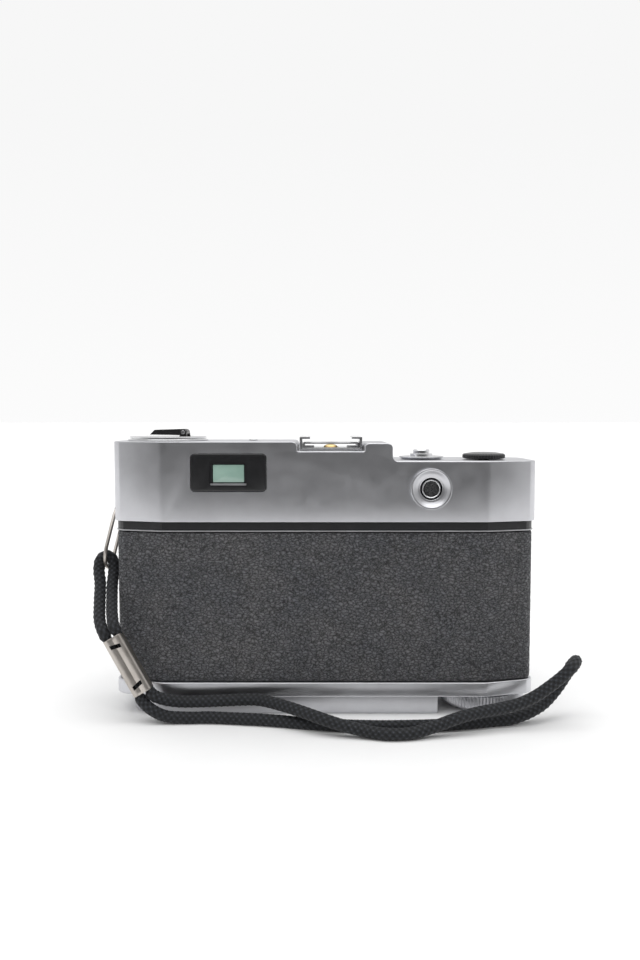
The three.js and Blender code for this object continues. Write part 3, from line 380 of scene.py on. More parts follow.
def rounded_edges(made, width, segments=3, angle=32):
    """made with its sharp edges rounded to width millimetres."""
    work = bmesh.new()
    work.from_mesh(made.data)
    bmesh.ops.dissolve_limit(work, angle_limit=math.radians(0.5), verts=work.verts, edges=work.edges)
    work.to_mesh(made.data)
    work.free()
    modifier = made.modifiers.new("edges", "BEVEL")
    modifier.width = width * MM
    modifier.segments = segments
    modifier.limit_method = "ANGLE"
    modifier.angle_limit = math.radians(angle)
    modifier.use_clamp_overlap = True
    return applied(made)


def finished(made, material, body, *replaced):
    """made with its material, riding on its body and standing for the CAD nodes that it replaces."""
    made.data.materials.clear()
    made.data.materials.append(material)
    shade(made.data)
    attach(made, body)
    if replaced:
        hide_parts(*replaced)
    return made


def rounded_corners(points, radius, closed, steps=3):
    """A drawn line with its corners turned into small curves."""
    flat = [Vector(p) for p in points]
    count = len(flat)
    line = []
    for i, corner in enumerate(flat):
        if not closed and i in (0, count - 1):
            line.append(corner)
            continue
        before = flat[i - 1] - corner
        after = flat[(i + 1) % count] - corner
        if before.length < 1e-6 or after.length < 1e-6 or abs(before.angle(after) - math.pi) < 0.1:
            line.append(corner)
            continue
        start = corner + before.normalized() * min(radius, before.length * 0.4)
        end = corner + after.normalized() * min(radius, after.length * 0.4)
        for k in range(steps + 1):
            t = k / steps
            line.append(start * (1 - t) ** 2 + corner * (2 * t * (1 - t)) + end * t**2)
    return [tuple(p) for p in line]


def lathe(name, centre, profile, axis="Z", radius=0.12, segments=96, teeth=0, depth=0.0, grip=0.0):
    """A turned piece. profile holds (radius, height) pairs, closed on itself or ending on the axis.

    Past grip, the radius is cut back by depth between its teeth.
    """
    closed = profile[0] == profile[-1]
    line = rounded_corners(profile[:-1] if closed else profile, radius, closed)
    turns = teeth * 6 if teeth else segments
    points, faces, rings = [], [], []
    for r, h in line:
        ring = []
        for i in range(turns if r > 1e-6 else 1):
            angle = 2 * math.pi * i / turns
            notch = 0.5 - 0.5 * math.cos(angle * teeth)
            reach = r - (depth * notch**0.7 if teeth and r > grip else 0)
            a, b = reach * math.cos(angle), reach * math.sin(angle)
            ring.append(len(points))
            points.append(lifted(centre[0] + a, centre[1] + b, h, axis))
        rings.append(ring)
    pairs = list(zip(rings, rings[1:]))
    if closed:
        pairs.append((rings[-1], rings[0]))
    for low, high in pairs:
        for i in range(turns):
            j = (i + 1) % turns
            corners = [low[i % len(low)], low[j % len(low)], high[j % len(high)], high[i % len(high)]]
            face = list(dict.fromkeys(corners))
            if len(face) > 2:
                faces.append(face)
    return mesh_object(name, points, faces)


def raised(profile, base):
    """A lathe's profile with its heights counted from base."""
    return [(r, base + h) for r, h in profile]


def circle(count):
    """Angles of count points round a circle."""
    return [2 * math.pi * k / count for k in range(count)]


def arc(centre, radius, start, end, steps=8):
    """Points of an arc in degrees."""
    turns = [math.radians(start + (end - start) * k / steps) for k in range(steps + 1)]
    return [(centre[0] + radius * math.cos(t), centre[1] + radius * math.sin(t)) for t in turns]


def bend(start, corner, end, steps=8):
    """Points of a quadratic curve, as the corners of the body are drawn."""

    def at(t):
        return tuple(
            a * (1 - t) ** 2 + b * 2 * t * (1 - t) + c * t * t for a, b, c in zip(start, corner, end)
        )

    return [at(k / steps) for k in range(steps + 1)]


def rounded_box(x0, x1, v0, v1, radius, steps=6):
    """Outline of a box with round corners."""
    return (
        arc((x1 - radius, v0 + radius), radius, -90, 0, steps)
        + arc((x1 - radius, v1 - radius), radius, 0, 90, steps)
        + arc((x0 + radius, v1 - radius), radius, 90, 180, steps)
        + arc((x0 + radius, v0 + radius), radius, 180, 270, steps)
    )


def face_outline(place, grow, radius, steps=6):
    """Rounded outline of a node's box seen from behind, grown by grow all round."""
    return rounded_box(place.x0 - grow, place.x1 + grow, place.z0 - grow, place.z1 + grow, radius, steps)


def mirrored(x, half):
    """A closed section from its right half, which is drawn from x."""
    return [(x + a, z) for a, z in half] + [(x - a, z) for a, z in reversed(half)]


def pulled(name, outline, low, high, axis="Z"):
    """An outline pulled along Z, or one in X and Z pulled along Y."""
    count = len(outline)
    points = [lifted(*p, h, axis) for h in (low, high) for p in outline]
    ends = [list(range(count)), list(range(count, 2 * count))]
    return mesh_object(name, points, ends + band(0, count, count))


def block(name, x0, x1, y0, y1, z0, z1):
    return pulled(name, [(x0, y0), (x1, y0), (x1, y1), (x0, y1)], z0, z1)


def bar(name, centre, radius, low, high, axis="Z", segments=64):
    return pulled(name, arc(centre, radius, 0, 360, segments)[:-1], low, high, axis)


def bored(made, low, high, **radii):
    """made with an upright hole at each node named."""
    for node, radius in radii.items():
        cut(made, bar("bore", Place(node).at, radius, low, high))


def body_outline(inset, steps=10):
    """The body's plan outline, moved inwards by inset: points run round from the back left."""
    side = HALF_WIDTH - inset
    flat = FLAT_HALF - inset * 0.15
    facet = FACET_HALF - inset
    pull = side - CORNER_PULL[0]
    near = REAR + inset
    far = FRONT - inset
    soft = FLAT_SOFTNESS
    slope = FACET_DROP / (FACET_HALF - FLAT_HALF)
    right_back = bend((flat - soft, near), (flat, near), (flat + soft, near + soft * slope), 4)
    right_back += bend(
        (facet, near + FACET_DROP), (pull, near + CORNER_PULL[1]), (side, near + CORNER_DROP), steps,
    )
    left_back = [(-x, y) for x, y in reversed(right_back)]
    right_front = [(x, near + far - y) for x, y in reversed(right_back)]
    left_front = [(-x, y) for x, y in reversed(right_front)]
    return left_back + right_back + right_front + left_front


# --- strap
STRAP_LANE = 1.9
SQUEEZED_LANE = 1.35
CORD_HALF_TALL = 2.1
CORD_HALF_WIDE = 1.95
CRIMP_TOP = Vector((-66.9, -4 + REAR, 27))
CRIMP_FOOT = Vector((-56.9, -6 + REAR, 10))
CRIMP_AXIS = (CRIMP_FOOT - CRIMP_TOP).normalized()
CRIMP_LENGTH = (CRIMP_FOOT - CRIMP_TOP).length
LANE_SIDE = -Vector((0, 1, 0)).cross(CRIMP_AXIS).normalized()
BRAID_STEP = 0.24
BRAID_STITCH = 1.9
BRAID_THREADS = 6
BRAID_DEPTH = 0.3
CORD_SIDES = 36
CRIMPED_HALF_WIDE = 1.25
CRIMPED_HALF_TALL = 1.75
CORD_CLEAR = 0.02
CRIMP_SIDES = 64
RING_TOP = Vector((-70.1, 24 + REAR, 64.8))
RING_FOOT = Vector((-72.8, 14 + REAR, 46.7))
RING_WIRE = 0.6
RING_BEND = 5.5
RING_TURNS = 72
RING_SIDES = 20


def in_crimp(side, at, lane=STRAP_LANE):
    """A point in line with the crimp, at millimetres down from its top; side 1 is nearer the body."""
    return tuple(CRIMP_TOP + CRIMP_AXIS * at + LANE_SIDE * side * lane)


def placed(points):
    return [(x, y + REAR, z) for x, y, z in points]


HANGER = placed([
    (-71.7, -0.8, 31.2), (-73.1, 5, 36.2), (-74.1, 10.3, 41.6), (-75.2, 13.4, 46), (-74.7, 14.4, 48.9),
    (-72.8, 14.5, 50.1), (-70.9, 14.4, 48.9), (-70.3, 13.4, 45.6), (-70.1, 10.3, 41.4), (-69.2, 5.4, 37),
    (-67.9, -0.2, 33),
])
LOOP = placed([
    (-51, -5.6, 7.6), (-45.9, -4.8, 6.6), (-40.1, -4.8, 6.6), (-32.5, -4.8, 6.9), (-24.6, -4.8, 7.2),
    (-20.5, -5.3, 7.2), (-15.3, -8, 6.9), (-8.7, -12.3, 6.3), (-1.6, -16.5, 5.2), (4.7, -18.4, 3.7),
    (13.4, -20, 2.1), (18.7, -21.3, 1.85), (25.3, -20.9, 1.95), (31.5, -19.2, 3), (40.7, -17.2, 5.6),
    (47.2, -15, 6.5), (53.7, -13, 7), (60.1, -12, 8.3), (64.8, -11.2, 10.2), (69, -10.4, 12.7),
    (72.9, -10, 15.6), (76.6, -9, 18.6), (78.9, -5.2, 19.6), (78.6, -1.4, 17.2), (77, -0.6, 13.7),
    (73.8, -1.5, 9.4), (69.5, -3.5, 5.6), (65.6, -5.5, 3.9), (61.8, -7, 2.8), (57.8, -8, 2),
    (51.8, -9.2, 1.85), (44.8, -11.2, 1.85), (32.8, -13.4, 1.85), (19.5, -14.3, 1.85), (8.2, -13.8, 1.85),
    (-5, -11.7, 1.85), (-15.6, -9, 1.85), (-26.1, -7.2, 1.85), (-36.7, -6, 1.85), (-44.5, -6.3, 1.9),
    (-50.6, -6.6, 2.6), (-55, -6.8, 5),
])


def cord_route():
    """One open line: from the crimp over the ring, back through it, round the loop and in again."""
    inside = [in_crimp(-1, at, SQUEEZED_LANE) for at in (5, 2)]
    up = [in_crimp(-1, -0.3), in_crimp(-1, -2.5)]
    down = [in_crimp(1, -2.5), in_crimp(1, -0.3)]
    through = [in_crimp(1, at, SQUEEZED_LANE) for at in (2, CRIMP_LENGTH / 2, CRIMP_LENGTH - 2)]
    out = [in_crimp(1, CRIMP_LENGTH + 0.3), in_crimp(1, CRIMP_LENGTH + 2)]
    back = [in_crimp(-1, CRIMP_LENGTH + 2), in_crimp(-1, CRIMP_LENGTH + 0.3)]
    end = [in_crimp(-1, at, SQUEEZED_LANE) for at in (CRIMP_LENGTH - 2, CRIMP_LENGTH - 6)]
    return inside + up + HANGER + down + through + out + LOOP + back + end


def smooth_line(points, step):
    """Points every step millimetres along a centripetal Catmull-Rom curve."""
    knots = [np.array(p, float) for p in points]
    knots = [2 * knots[0] - knots[1], *knots, 2 * knots[-1] - knots[-2]]
    fine = []
    for a, b, c, d in zip(knots, knots[1:], knots[2:], knots[3:]):
        t0 = 0.0
        t1 = t0 + np.linalg.norm(b - a) ** 0.5
        t2 = t1 + np.linalg.norm(c - b) ** 0.5
        t3 = t2 + np.linalg.norm(d - c) ** 0.5
        for t in np.linspace(t1, t2, 24, endpoint=False):
            ab = a * (t1 - t) / (t1 - t0) + b * (t - t0) / (t1 - t0)
            bc = b * (t2 - t) / (t2 - t1) + c * (t - t1) / (t2 - t1)
            cd = c * (t3 - t) / (t3 - t2) + d * (t - t2) / (t3 - t2)
            abc = ab * (t2 - t) / (t2 - t0) + bc * (t - t0) / (t2 - t0)
            bcd = bc * (t3 - t) / (t3 - t1) + cd * (t - t1) / (t3 - t1)
            fine.append(abc * (t2 - t) / (t2 - t1) + bcd * (t - t1) / (t2 - t1))
    fine.append(knots[-2])
    fine = np.array(fine)
    run = np.concatenate([[0], np.cumsum(np.linalg.norm(np.diff(fine, axis=0), axis=1))])
    count = int(round(run[-1] / step))
    spots = np.linspace(0, run[-1], count + 1)
    return np.stack([np.interp(spots, run, fine[:, k]) for k in range(3)], axis=1), run[-1]


def braid_height(along, angle):
    """Height of the braid's surface, from 0 in a groove to 1 on a thread."""
    lean = 2 * math.pi * along / BRAID_STITCH
    first = abs(math.cos(BRAID_THREADS * angle / 2 + lean / 2))
    second = abs(math.cos(BRAID_THREADS * angle / 2 - lean / 2))
    over = math.sin(BRAID_THREADS * angle) * math.sin(lean) > 0
    return max(first * (1 if over else 0.7), second * (0.7 if over else 1)) ** 1.5


def squeeze_at(point):
    """How far the crimp squeezes the cord at a point: 0 free, 1 inside."""
    rel = Vector(point) - CRIMP_TOP
    at = rel.dot(CRIMP_AXIS)
    off = (rel - CRIMP_AXIS * at).length
    if off > 4:
        return 0.0
    depth = min(at, CRIMP_LENGTH - at)
    return min(1.0, max(0.0, (depth + 1.2) / 2))


def wrist_cord():
    """The braided cord as one swept mesh; returns it with its path and length in metres."""
    line, length = smooth_line(cord_route(), BRAID_STEP)
    tangents = np.gradient(line, axis=0)
    tangents /= np.linalg.norm(tangents, axis=1)[:, None]
    side = Vector(LANE_SIDE)
    points, faces, heights = [], [], []
    for i, (centre, tangent) in enumerate(zip(line, tangents)):
        t = Vector(tangent)
        side = (side - t * side.dot(t)).normalized()
        other = t.cross(side)
        squeeze = squeeze_at(centre)
        wide = CORD_HALF_WIDE * (1 - squeeze) + CRIMPED_HALF_WIDE * squeeze
        tall = CORD_HALF_TALL * (1 - squeeze) + CRIMPED_HALF_TALL * squeeze
        for angle in circle(CORD_SIDES):
            heights.append(braid_height(i * BRAID_STEP, angle))
            lift = (heights[-1] - 1) * BRAID_DEPTH
            over = side * ((wide + lift) * math.cos(angle))
            p = Vector(centre) + over + other * ((tall + lift) * math.sin(angle))
            points.append((p.x, p.y, max(p.z, CORD_CLEAR)))
        if i:
            faces += band((i - 1) * CORD_SIDES, i * CORD_SIDES, CORD_SIDES)
    faces.append(list(range(CORD_SIDES)))
    faces.append(list(range(len(points) - CORD_SIDES, len(points))))
    made = mesh_object("wrist_cord", points, faces)
    made.data.attributes.new("stitch", "FLOAT", "POINT").data.foreach_set("value", heights)
    finished(made, BRAID, "strap", "strap_hanger_cord", "strap_loop_cord")
    return made, line * MM, length * MM


def in_crimp_axes(across, deep, down):
    """A point in the crimp's own axes: across the strands, out to the back, down its length."""
    out = CRIMP_AXIS.cross(LANE_SIDE)
    return tuple(CRIMP_TOP + LANE_SIDE * across + out * deep + CRIMP_AXIS * down)


def crimp():
    """Pressed sleeve round the two strands, with a waist along its middle and two slots that grip them."""
    wide, deep, wall = 3.25, 2.6, 0.45

    def ring(inset):
        line = []
        for angle in circle(CRIMP_SIDES):
            c, s = math.cos(angle), math.sin(angle)
            across = (wide - inset) * math.copysign(abs(c) ** 0.5, c)
            waist = 1 - 0.16 * math.exp(-((across / 0.8) ** 2))
            line.append((across, (deep - inset) * math.copysign(abs(s) ** 0.55, s) * waist))
        return line

    outer, inner = ring(0), ring(wall)
    levels = [
        (0.0, 0.12), (0.15, 0), (1.0, 0), (CRIMP_LENGTH - 1.0, 0), (CRIMP_LENGTH - 0.15, 0),
        (CRIMP_LENGTH, 0.12),
    ]
    points, faces = [], []
    for down, inset in levels:
        points += [in_crimp_axes(x * (1 - inset / wide), y * (1 - inset / deep), down) for x, y in outer]
    for down, _ in reversed(levels):
        points += [in_crimp_axes(x, y, down) for x, y in inner]
    count = 2 * len(levels)
    for i in range(count):
        faces += band(i * CRIMP_SIDES, (i + 1) % count * CRIMP_SIDES, CRIMP_SIDES)
    made = mesh_object("crimp_sleeve", points, faces)
    for down, lean in ((3.0, 0.75), (CRIMP_LENGTH - 3.0, -0.75)):
        slot = []
        for deep_at in (1.2, 4.5):
            for x, along in ((-1.7, -0.65), (1.7, -0.65), (1.7, 0.65), (-1.7, 0.65)):
                slot.append(in_crimp_axes(x, deep_at, down + along + lean * x / 1.7 * 0.5))
        faces = [[0, 1, 2, 3], [4, 5, 6, 7], [0, 1, 5, 4], [1, 2, 6, 5], [2, 3, 7, 6], [3, 0, 4, 7]]
        cut(made, mesh_object("slot", slot, faces))
    return finished(made, NICKEL, "strap", "strap_crimp")


def ring():
    """Long wire ring through the lug's eye."""
    down = (RING_FOOT - RING_TOP).normalized()
    across = Vector((1, 0, 0)).cross(down).normalized()
    facing = down.cross(across)
    middle = (RING_TOP + RING_FOOT) / 2
    pull = (RING_FOOT - RING_TOP).length / 2 - RING_BEND
    points, faces = [], []
    for i, angle in enumerate(circle(RING_TURNS)):
        c, s = math.cos(angle), math.sin(angle)
        end = pull if s > 1e-6 else -pull if s < -1e-6 else 0
        centre = middle + across * (RING_BEND * c) + down * (RING_BEND * s + end)
        outward = across * c + down * s
        for turn in circle(RING_SIDES):
            out, up = RING_WIRE * math.cos(turn), RING_WIRE * math.sin(turn)
            points.append(tuple(centre + outward * out + facing * up))
        faces += band(i * RING_SIDES, (i + 1) % RING_TURNS * RING_SIDES, RING_SIDES)
    return finished(mesh_object("wire_ring", points, faces), NICKEL, "strap", "strap_ring")


cord_piece, cord_path, cord_length = wrist_cord()
crimp_piece = crimp()
ring_piece = ring()


# --- top cover and base
def cover_profile(drop=0.0, end=0.0):
    """Stepped outline of the top cover seen from behind, lowered by drop and pulled in by end."""
    far = HALF_WIDTH + 3
    right, floor, hump, left = RIGHT_DECK - drop, SHOE_FLOOR - drop, HUMP_TOP - drop, LEFT_DECK - drop
    step_end, step_start, deck_end = HUMP_END - end, HUMP_START + end, LEFT_DECK_END - end
    foot = COVER.z0 - (1 if drop else 0)
    line = [(-far, foot), (far, foot), (far, right)]
    line += bend((step_end + STEP_FILLET, right), (step_end, right), (step_end, right + STEP_FILLET))
    line += bend((step_end, hump - STEP_FILLET), (step_end, hump), (step_end - STEP_FILLET, hump))
    line += bend((step_start + SHOE_STEP, hump), (step_start, hump), (step_start, hump - SHOE_STEP))
    line += bend(
        (step_start, floor + FOOT_FILLET), (step_start, floor), (step_start - FOOT_FILLET, floor), 4,
    )
    line += bend((deck_end + FOOT_FILLET, floor), (deck_end, floor), (deck_end, floor + FOOT_FILLET), 4)
    line += bend((deck_end, left - STEP_FILLET), (deck_end, left), (deck_end - STEP_FILLET, left))
    return line + [(-far, left)]


def top_cover():
    made = pulled("cover_shell", body_outline(0), COVER.z0, LEFT_DECK)
    steps = pulled("steps", cover_profile(), REAR - 2, FRONT + 2, "Y")
    combine(made, steps, "INTERSECT")
    rounded_edges(made, SHELL_EDGE, 4)
    inside = pulled("inside", body_outline(COVER_WALL), COVER.z0 - 1, LEFT_DECK)
    inner_steps = pulled("inner_steps", cover_profile(COVER_WALL, COVER_WALL), REAR - 2, FRONT + 2, "Y")
    combine(inside, inner_steps, "INTERSECT")
    cut(made, inside)
    bezel, window = Place("viewfinder_bezel"), Place("front_window_frame")
    cut(made, pulled("eye", face_outline(bezel, 0.15, 1.45), REAR - 1, REAR + 3, "Y"))
    cut(made, pulled("front", face_outline(window, 0.15, 1.45), FRONT - 3, FRONT + 1, "Y"))
    check = Place("check_button_ring")
    cut(made, bar("check_hole", (check.x, check.z), 3.9, REAR - 1, REAR + 3, "Y"))
    bored(made, 75, 92, rewind_bush=3, counter_knob=2.2, shutter_button=3.4)
    finished(made, SATIN, "camera", "top_cover")


def base_plate():
    """Shallow plated tray with the plinth that the camera stands on."""
    made = pulled("base_shell", body_outline(BASE_INSET), BASE_SKIRT, BASE.z1)
    rounded_edges(made, SHELL_EDGE, 4)
    plinth = [(36.8, 3.2), (36.8, 31.8)]
    plinth += bend((-54, 31.8), (-63, 31), (-63, 22), 12) + bend((-63, 13), (-63, 4), (-54, 3.2), 12)
    foot = rounded_edges(pulled("plinth", [(x, y + REAR) for x, y in plinth], 0, 7.2), 0.5, 4)
    combine(made, foot, "UNION")
    cut(made, pulled("tray", body_outline(BASE_INSET + BASE_WALL), 7.7, BASE.z1 + 1))
    bored(made, -1, 9, tripod_bush=7.4, battery_cover=9.3, rewind_release_button=2.8, wind_wheel=2.6)
    finished(made, SATIN, "camera", "base_plate")


# --- leather
PEBBLE_PITCH = 0.5
PEBBLE_DEPTH = 0.1
EDGE_ROLL = 0.22


def outline_run(inset, seam_side):
    """Points of the plan outline on one side of the door's seam, evenly spaced."""
    ring = body_outline(inset, 16)
    if seam_side > 0:
        half = len(ring) // 2
        ring = ring[half:] + ring[:half]
    seam = DOOR_SEAM + 0.3 if seam_side > 0 else DOOR_SEAM
    kept = [p for p in ring if (p[1] - seam) * seam_side > 0]
    first, last = kept[0], kept[-1]
    kept = [(first[0], seam), *kept, (last[0], seam)]
    run = np.concatenate([[0], np.cumsum([math.dist(a, b) for a, b in zip(kept, kept[1:])])])
    count = int(run[-1] / PEBBLE_PITCH)
    along = np.linspace(0, run[-1], count + 1)
    return np.stack([np.interp(along, run, [p[k] for p in kept]) for k in range(2)], axis=1)


def pebble_at(point):
    """Height of the leather's grain at a point, in millimetres below its highest."""
    near = noise.voronoi(Vector((point[0] * 0.7, point[1] * 0.7, point[2] * 0.95)))[0]
    return -PEBBLE_DEPTH * (1 - min(1.0, (near[1] - near[0]) * 2.2))


def leather_sheet(name, seam_side, node, body, hole=0.0):
    """Grained sheet round one side of the door's seam; hole is the radius left for the lens."""
    outer = outline_run(SKIN_INSET, seam_side)
    inner = outline_run(SKIN_INSET + SKIN_THICK, seam_side)
    to, given = np.linspace(0, 1, len(outer)), np.linspace(0, 1, len(inner))
    inner = np.stack([np.interp(to, given, inner[:, k]) for k in (0, 1)], axis=1)
    rows = int((LEATHER.z1 - LEATHER.z0) / PEBBLE_PITCH)
    across = len(outer)
    slope = np.gradient(outer, axis=0)
    points, faces = [], []
    for level in range(rows + 1):
        z = LEATHER.z0 + (LEATHER.z1 - LEATHER.z0) * level / rows
        edge = min(level, rows - level)
        for i, (x, y) in enumerate(outer):
            normal = Vector((slope[i][1], -slope[i][0], 0)).normalized()
            rim = min(edge, i, across - 1 - i)
            roll = -EDGE_ROLL * max(0.0, 1 - rim / 2) ** 2
            lift = pebble_at((x, y, z)) + roll
            points.append((x + normal.x * lift, y + normal.y * lift, z))
    start = len(points)
    for level in (0, rows):
        z = LEATHER.z0 + (LEATHER.z1 - LEATHER.z0) * level / rows
        points += [(x, y, z) for x, y in inner]

    def index(level, i):
        return level * across + i

    for level in range(rows):
        for i in range(across - 1):
            low, high = index(level, i), index(level + 1, i)
            faces.append([low, low + 1, high + 1, high])
    low, high = start, start + across
    for i in range(across - 1):
        faces.append([low + i, low + i + 1, high + i + 1, high + i])
        faces.append([index(0, i), index(0, i + 1), low + i + 1, low + i])
        faces.append([index(rows, i), index(rows, i + 1), high + i + 1, high + i])
    for i in (0, across - 1):
        faces.append([index(level, i) for level in range(rows + 1)] + [high + i, low + i])
    made = mesh_object(name, points, faces)
    if hole:
        cut(made, bar("lens_hole", (0, LENS_Z), hole, FRONT - 6, FRONT + 3, "Y", 96))
    finished(made, LEATHERCLOTH, body, node)


def rail_bead():
    """Thin bright edge of the door's seat, between the leather and the rail."""
    outer, inner = body_outline(RAIL_INSET - 0.25), body_outline(RAIL_INSET + 0.6)
    count = len(outer)
    low, high = LEATHER.z1 + 0.42, LEATHER.z1 + 0.85
    corners = ((outer, low), (outer, high), (inner, high), (inner, low))
    points = [(*p, h) for line, h in corners for p in line]
    faces = []
    for i in range(4):
        faces += band(i * count, (i + 1) % 4 * count, count)
    made = rounded_edges(mesh_object("door_seat_edge", points, faces), 0.12, 3)
    finished(made, STEEL, "camera")


# --- viewfinder and windows
def eyepiece():
    """Bezel with a stepped opening, its bright lip and the glass."""
    bezel, glass = Place("viewfinder_bezel"), Place("eyepiece_glass")
    made = pulled("eyepiece_frame", face_outline(bezel, 0, 1.3, 8), REAR - 0.25, REAR + 1.9, "Y")
    rounded_edges(made, 0.3, 3)
    step = rounded_box(glass.x0 - 1, glass.x1 + 1, glass.z0 - 1.1, glass.z1 + 0.9, 0.5)
    cut(made, pulled("eye_step", step, REAR - 1, REAR + 0.25, "Y"))
    cut(made, pulled("eye_hole", face_outline(glass, 0.2, 0.4), REAR - 1, REAR + 3, "Y"))
    finished(made, PLASTIC, "camera", "viewfinder_bezel")
    x0, x1, z = glass.x0 - 0.8, glass.x1 + 0.8, glass.z0
    lip = block("eyepiece_lip", x0, x1, REAR - 0.1, REAR + 0.25, z - 0.95, z - 0.35)
    finished(rounded_edges(lip, 0.15, 3), STEEL, "camera")
    # The pane carries the painted view of the lit finder.
    pane = pulled("eyepiece_pane", face_outline(glass, 0, 0.35), REAR + 0.5, REAR + 1.4, "Y")
    finished(rounded_edges(pane, 0.12, 2), EYE_GLASS_PAINTED_VIEW, "camera", "eyepiece_glass")


FRONT_PANES = {
    "finder_window": WINDOW_GLASS,
    "frameline_window": FROSTED,
    "meter_window": WINDOW_GLASS,
}


def front_windows():
    outer = Place("front_window_frame")
    made = pulled("window_panel", face_outline(outer, 0, 1.3, 8), FRONT - 1.7, FRONT + 0.3, "Y")
    rounded_edges(made, 0.3, 3)
    for node, material in FRONT_PANES.items():
        box = Place(node)
        cut(made, pulled("opening", face_outline(box, 0.2, 0.5), FRONT - 4, FRONT + 2, "Y"))
        pane = pulled(node + "_pane", face_outline(box, 0, 0.4), box.y0, box.y1, "Y")
        finished(rounded_edges(pane, 0.15, 2), material, "camera", node)
    finished(made, PLASTIC, "camera", "front_window_frame")


PAD_RINGS = 14
PAD_SIDES = 72
PAD_RADIUS = 2.42


def check_button():
    """Flared ring and the dimpled button inside it."""
    box = Place("check_button_ring")
    at = (box.x, box.z)
    flare = [
        (3.5, 1.1), (3.5, -1), (4.2, -1.15), (5.0, -1.6), (5.9, -2.35), (6.4, -2.4), (6.55, -2.1),
        (5.4, -0.4), (4.6, -0.1), (3.8, -0.1), (3.8, 1.1), (3.5, 1.1),
    ]
    made = lathe("check_flare", at, raised(flare, REAR), "Y", 0.2)
    finished(made, SATIN, "camera", "check_button_ring")
    rim = [(0, 5), (3, 5), (3, -0.9), (2.75, -1.15), (2.5, -0.95), (2.5, -0.6), (0, -0.6)]
    made = lathe("check_rim", at, raised(rim, REAR), "Y", 0.08)
    finished(made, POLISHED, "check_button", "check_button")
    points = [(at[0], REAR - 1.0, at[1])]
    faces = []
    for k in range(1, PAD_RINGS + 1):
        for angle in circle(PAD_SIDES):
            r = PAD_RADIUS * k / PAD_RINGS
            x, z = r * math.cos(angle), r * math.sin(angle)
            bumps = noise.noise(Vector((x * 2.6, z * 2.6, 3))) * 0.3
            edge = 0.3 if k == PAD_RINGS else 0.0
            points.append((at[0] + x, REAR - 0.95 + edge + bumps, at[1] + z))
        for i in range(PAD_SIDES):
            j = (i + 1) % PAD_SIDES
            row = 1 + (k - 1) * PAD_SIDES
            under = 1 + (k - 2) * PAD_SIDES
            faces.append([0, row + i, row + j] if k == 1 else [under + i, row + i, row + j, under + j])
    base = len(points)
    for angle in circle(PAD_SIDES):
        x, z = PAD_RADIUS * math.cos(angle), PAD_RADIUS * math.sin(angle)
        points.append((at[0] + x, REAR - 0.55, at[1] + z))
    faces += band(1 + (PAD_RINGS - 1) * PAD_SIDES, base, PAD_SIDES)
    faces.append([base + i for i in range(PAD_SIDES)])
    finished(mesh_object("check_pad", points, faces), PLASTIC, "check_button")


# --- top deck
def rewind_controls():
    at = Place("rewind_bush").at
    deck = LEFT_DECK
    rim = raised([(9.5, 0), (13.3, 0), (13.3, 0.3), (13, 0.5), (9.5, 0.5), (9.5, 0)], deck + 0.1)
    finished(lathe("rewind_rim", at, rim, "Z", 0.1, 128), POLISHED, "camera", "rewind_base_ring")
    low = deck + 0.8
    dish = [(0, 0), (12.7, 0), (12.7, 0.5), (12.4, 0.65), (11.2, 0.65), (9.6, 0.3), (0, 0.3)]
    disc = lathe("rewind_disc", at, raised(dish, low), "Z", 0.1, 128)
    pin_x, pin_z = at[0] + 5.6, deck + 2.8
    for y0 in (-4.6, 3.5):
        ear = [(pin_x - 1.3, low + 0.1), (pin_x + 1.3, low + 0.1)] + arc((pin_x, pin_z), 1.0, 0, 180, 16)
        made = pulled("crank_ear", ear, at[1] + y0, at[1] + y0 + 1.1, "Y")
        finished(rounded_edges(made, 0.15, 2), PAINT, "rewind_knob")
    finished(disc, POLISHED, "rewind_knob", "rewind_knob")
    pin = [(0, at[1] - 4.9), (0.65, at[1] - 4.9), (0.65, at[1] + 4.9), (0, at[1] + 4.9)]
    finished(lathe("rewind_pin", (pin_x, pin_z), pin, "Y", 0.2, 32), STEEL, "rewind_knob", "crank_pin")
    under, top = deck + 2, deck + 3.6
    lever = [(pin_x - 11.2, under), (pin_x, pin_z - 1)]
    lever += arc((pin_x, pin_z), 1.1, -90, 90, 12) + [(pin_x - 9.6, top)]
    made = pulled("rewind_lever", lever, at[1] - 3.2, at[1] + 3.2, "Y")
    finished(rounded_edges(made, 0.25, 3), PAINT, "rewind_crank", "rewind_crank")


